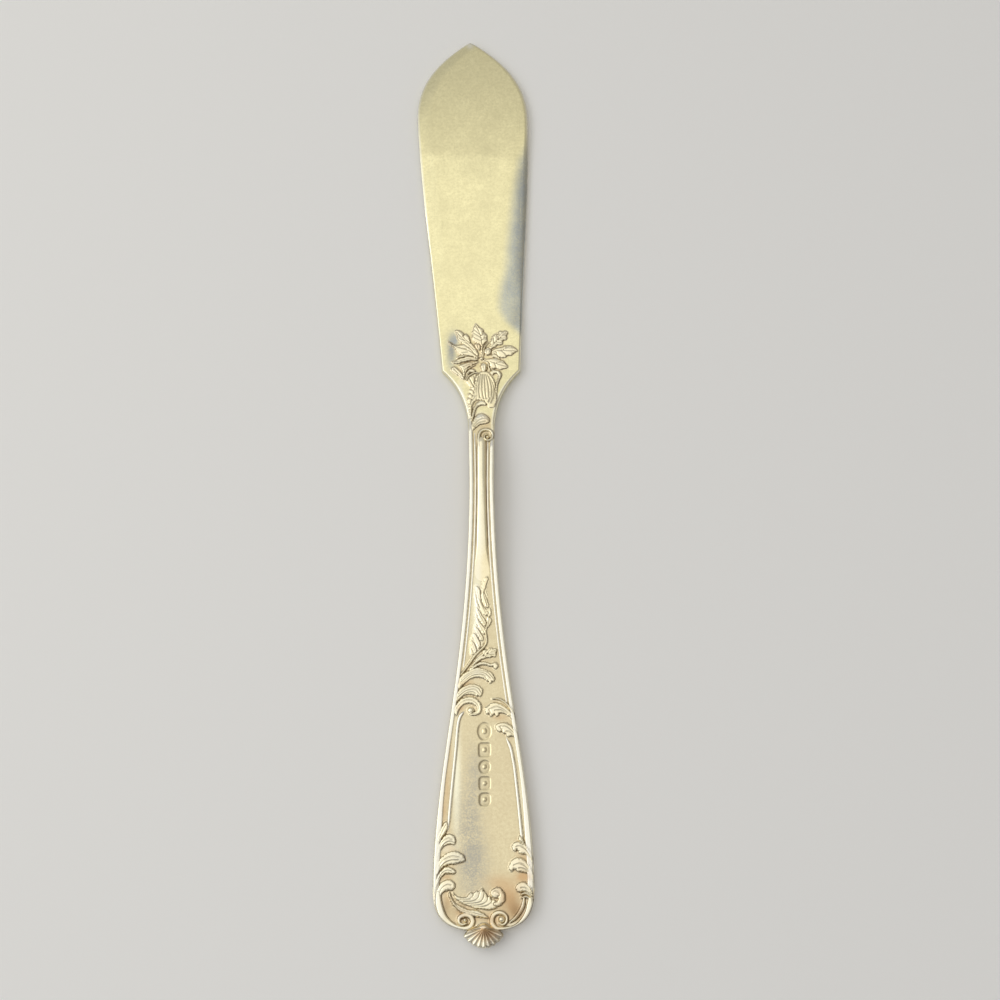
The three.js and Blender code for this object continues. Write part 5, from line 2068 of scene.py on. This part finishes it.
    def scrolls(self) -> list[Relief]:
        """Draws the scrolls beside the shell.

        Returns:
            The two ornaments.
        """
        left = Ridge(
            ((-7.9, -80.8), (-7.85, -82.2), (-7.55, -83.55), (-6.95, -84.9), (-5.9, -85.95),
             (-4.65, -86.65), (-3.4, -86.85), (-2.35, -86.5), (-1.9, -85.65), (-2.3, -84.85),
             (-3.2, -84.55), (-4.15, -84.95), (-4.3, -85.7), (-3.7, -86.15), (-3.0, -85.95)),
            (0.4, 0.58, 0.64, 0.66, 0.64, 0.56, 0.48, 0.44, 0.42, 0.42, 0.46, 0.44, 0.34, 0.24, 0.14),
            self.scroll_rise,
            self.scroll_fullness,
        )
        right = Ridge(
            ((8.1, -82.0), (7.95, -83.5), (7.45, -84.85), (6.55, -85.95), (5.45, -86.65), (4.2, -86.92),
             (3.2, -87.0), (2.15, -86.8), (1.5, -86.05), (1.45, -85.2), (1.85, -84.5), (2.65, -84.2),
             (3.45, -84.4), (3.95, -85.0), (3.85, -85.8), (3.3, -86.2), (2.7, -86.0)),
            (0.4, 0.6, 0.64, 0.64, 0.6, 0.5, 0.4, 0.42, 0.44, 0.44, 0.42, 0.4, 0.38, 0.34, 0.28, 0.22,
             0.14),
            self.scroll_rise,
            self.scroll_fullness,
        )
        inner = Ridge(((7.0, -81.9), (6.75, -83.1), (6.2, -84.2), (5.4, -85.15), (4.5, -85.8)),
                      (0.22, 0.34, 0.36, 0.32, 0.16), 0.3, 3.2)
        return [
            Relief("end_scroll_left", [left, Bead((-3.25, -85.45), 0.42, 0.4, 0.0, 0.4)]),
            Relief("end_scroll_right", [inner, right, Bead((3.1, -85.35), 0.62, 0.62, 0.0, 0.42)]),
        ]

    def shell(self, shop: Workshop) -> None:
        """Makes the fluted shell that closes the handle.

        Args:
            shop: The workshop that keeps the piece.
        """
        rings, spokes = self.shell_rings, self.shell_ribs * self.rib_spokes
        hinge = KNIFE.end + self.shell_hinge
        turn = np.linspace(-180.0, 180.0, spokes, endpoint=False)[:, None]
        out = np.linspace(0.03, 1.0, rings + 1)[None, :]
        fan = np.clip(turn / self.shell_half_angle, -1.0, 1.0)
        flute = np.abs(np.sin(0.5 * math.pi * self.shell_ribs * (fan + 1.0)))
        flute = np.where(np.abs(fan) < 1.0, flute, 0.0) ** 0.8
        past = smoothstep(np.abs(turn), self.shell_half_angle, self.shell_half_angle + self.shell_turn_in)
        flute = mix(flute, 1.0, past)
        shape = np.interp(np.abs(turn), *zip(*self.shell_outline))
        edge = self.shell_reach * shape * (1.0 - 0.05 * (1.0 - flute))
        radius = edge * out
        top = float(KNIFE.face(KNIFE.end))
        grown = radius / self.shell_reach
        lift = self.shell_rise * (1.0 - 0.14 * grown**2) - self.shell_flute * np.sqrt(grown) * (1.0 - flute)
        lift = lift + self.shell_bulb * np.exp(-((grown / 0.32) ** 2))
        fall = mix(0.12, 0.5, past) * smoothstep(out, mix(0.9, 0.3, past), 1.0) + 0.15 * fan**4 * grown
        x, y = radius * np.sin(np.radians(turn)), hinge - radius * np.cos(np.radians(turn))
        upper = np.stack([x, y, top + lift - fall], axis=-1).reshape(-1, 3)
        floor = np.full_like(x, self.shell_underside) + 0.25 * out**3
        lower = np.stack([x, y, floor], axis=-1).reshape(-1, 3)
        index, skin = disc_faces(spokes, rings + 1)
        count = index.size
        rim = index[:, -1]
        after = np.roll(rim, -1)
        walls = np.stack([after, rim, rim + count, after + count], axis=-1)
        faces = np.vstack([skin, skin[:, ::-1] + count, walls]).tolist()
        faces += [index[:, 0].tolist(), (index[::-1, 0] + count).tolist()]
        deep = (1.0 - flute) ** 1.8 * smoothstep(grown, 0.12, 0.4) * (1.0 - 0.4 * grown)
        crust = np.concatenate([self.shell_crust * deep.ravel(), np.zeros(count)])
        shop.piece("shell", np.vstack([upper, lower]), faces, Finish.RELIEF, tarnish_and_shade=crust)

    def parts(self) -> list[Relief]:
        """Returns the struck ornaments of the end."""
        return [self.left_leaves(), self.right_leaves(), self.sweeping_leaf(), *self.scrolls()]


@dataclass
class Studio:
    """Pale floor, soft lamps, plain surroundings and the camera."""

    floor_colour: Colour = (0.9, 0.9, 0.89)
    floor_reach: float = 1.8
    cove: float = 0.8
    lens: float = 50.4
    camera_place: tuple[float, float, float] = (0.00433, -0.0844, 0.2546)
    camera_tilt: float = 16.46
    camera_turn: float = -0.47
    lamp_height: float = 0.6
    room_left: Colour = (0.58, 0.58, 0.59)
    room_right: Colour = (0.4, 0.37, 0.32)
    warm_light: Colour = (1.0, 0.98, 0.84)
    pale_light: Colour = (1.0, 0.985, 0.94)

    def floor(self) -> None:
        """Lays a round floor under the knife that curves up to a low backdrop."""
        turns = np.radians(np.linspace(0.0, 360.0, 96, endpoint=False))[:, None]
        bend = np.linspace(0.0, math.pi / 2, 13)
        out = np.r_[self.floor_reach / 3, self.floor_reach + self.cove * np.sin(bend)][None, :]
        up = np.r_[0.0, self.cove * (1.0 - np.cos(bend))][None, :]
        ring = np.stack(np.broadcast_arrays(out * np.cos(turns), out * np.sin(turns), up), axis=-1)
        index, quads = disc_faces(*ring.shape[:2])
        faces = [*quads.tolist(), index[:, 0].tolist()]
        mesh = bpy.data.meshes.new("studio_floor")
        mesh.from_pydata(ring.reshape(-1, 3).tolist(), [], faces)
        mesh.polygons.foreach_set("use_smooth", np.ones(len(mesh.polygons), bool))
        made = bpy.data.objects.new("studio_floor", mesh)
        bpy.context.scene.collection.objects.link(made)
        paint = bpy.data.materials.new("pale_floor")
        paint.use_nodes = True
        shader = paint.node_tree.nodes["Principled BSDF"]
        shader.inputs["Base Color"].default_value = (*self.floor_colour, 1.0)
        shader.inputs["Roughness"].default_value = 0.9
        shader.inputs["Specular IOR Level"].default_value = 0.1
        mesh.materials.append(paint)

    def lamp(
        self,
        name: str,
        centre: Sequence[float],
        size: Point,
        radiance: float,
        colour: Colour,
        tilt: float = 0.0,
    ) -> None:
        """Hangs a soft lamp that faces the floor.

        Args:
            name: Its name.
            centre: Its place in metres.
            size: Its sides in metres.
            radiance: How bright its face is.
            colour: Its colour.
            tilt: How far it leans towards the right, in degrees.
        """
        data = bpy.data.lights.new(name, "AREA")
        data.shape = "RECTANGLE"
        data.size, data.size_y = size
        data.energy = radiance * math.pi * size[0] * size[1]
        data.color = colour
        made = bpy.data.objects.new(name, data)
        made.location = centre
        made.rotation_euler = (0.0, math.radians(-tilt), 0.0)
        made.visible_camera = False
        bpy.context.scene.collection.objects.link(made)

    def surroundings(self) -> None:
        """Fills the room with plain light that fades to the right and to the front."""
        world = bpy.data.worlds.new("studio_room")
        bpy.context.scene.world = world
        world.use_nodes = True
        kit = NodeKit(world.node_tree)
        heading = kit.add("ShaderNodeSeparateXYZ")
        kit.link(kit.add("ShaderNodeTexCoord").outputs["Generated"], heading.inputs["Vector"])
        share = kit.ramp(heading.outputs["X"], -0.15, 0.8)
        colour = kit.blend(share, self.room_left, self.room_right)
        front = kit.ramp(heading.outputs["Y"], -0.9, -0.1, (0.6, 1.0))
        kit.link(colour, world.node_tree.nodes["Background"].inputs["Color"])
        kit.link(front, world.node_tree.nodes["Background"].inputs["Strength"])

    def camera(self) -> None:
        """Sets the camera at the photograph's angle."""
        data = bpy.data.cameras.new("camera")
        data.lens = self.lens
        data.sensor_width = 36.0
        made = bpy.data.objects.new("camera", data)
        made.location = self.camera_place
        made.rotation_euler = (math.radians(self.camera_tilt), 0.0, math.radians(self.camera_turn))
        data.clip_start = 0.01
        bpy.context.scene.collection.objects.link(made)
        bpy.context.scene.camera = made

    def build(self) -> None:
        """Sets up the studio."""
        bpy.context.scene.view_settings.view_transform = "Standard"
        self.floor()
        self.surroundings()
        height = self.lamp_height
        warm, pale = self.warm_light, self.pale_light
        self.lamp("far_softbox", (-0.255, 0.2875, height), (0.69, 0.285), 0.28, warm)
        self.lamp("far_fill", (-0.255, 0.3175, height + 0.03), (0.73, 0.345), 0.19, warm)
        self.lamp("near_softbox", (-0.15, -0.08, height), (0.9, 0.45), 0.46, pale)
        self.lamp("left_strip", (-0.44, 0.0, 0.42), (0.26, 0.7), 1.1, pale, 45.0)
        self.camera()


def main() -> None:
    """Builds the studio and the knife, and reports each piece."""
    logging.basicConfig(level=logging.INFO, format="%(message)s")
    Studio().build()
    shop = Workshop()
    end = EndOrnament()
    groups = (BladeOrnament(), StemMouldings(), FlareOrnament(), end)
    ornaments = [ornament for group in groups for ornament in group.parts()]
    for ornament in ornaments:
        ornament.strike()
    PLATE.find_cavities()
    for body in (Blade(), Handle()):
        body.build(shop)
    for ornament in ornaments:
        ornament.build(shop)
    end.shell(shop)
    LOG.info("%d pieces stand for %d nodes", len(shop.pieces), len(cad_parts))


if __name__ == "__main__":
    main()
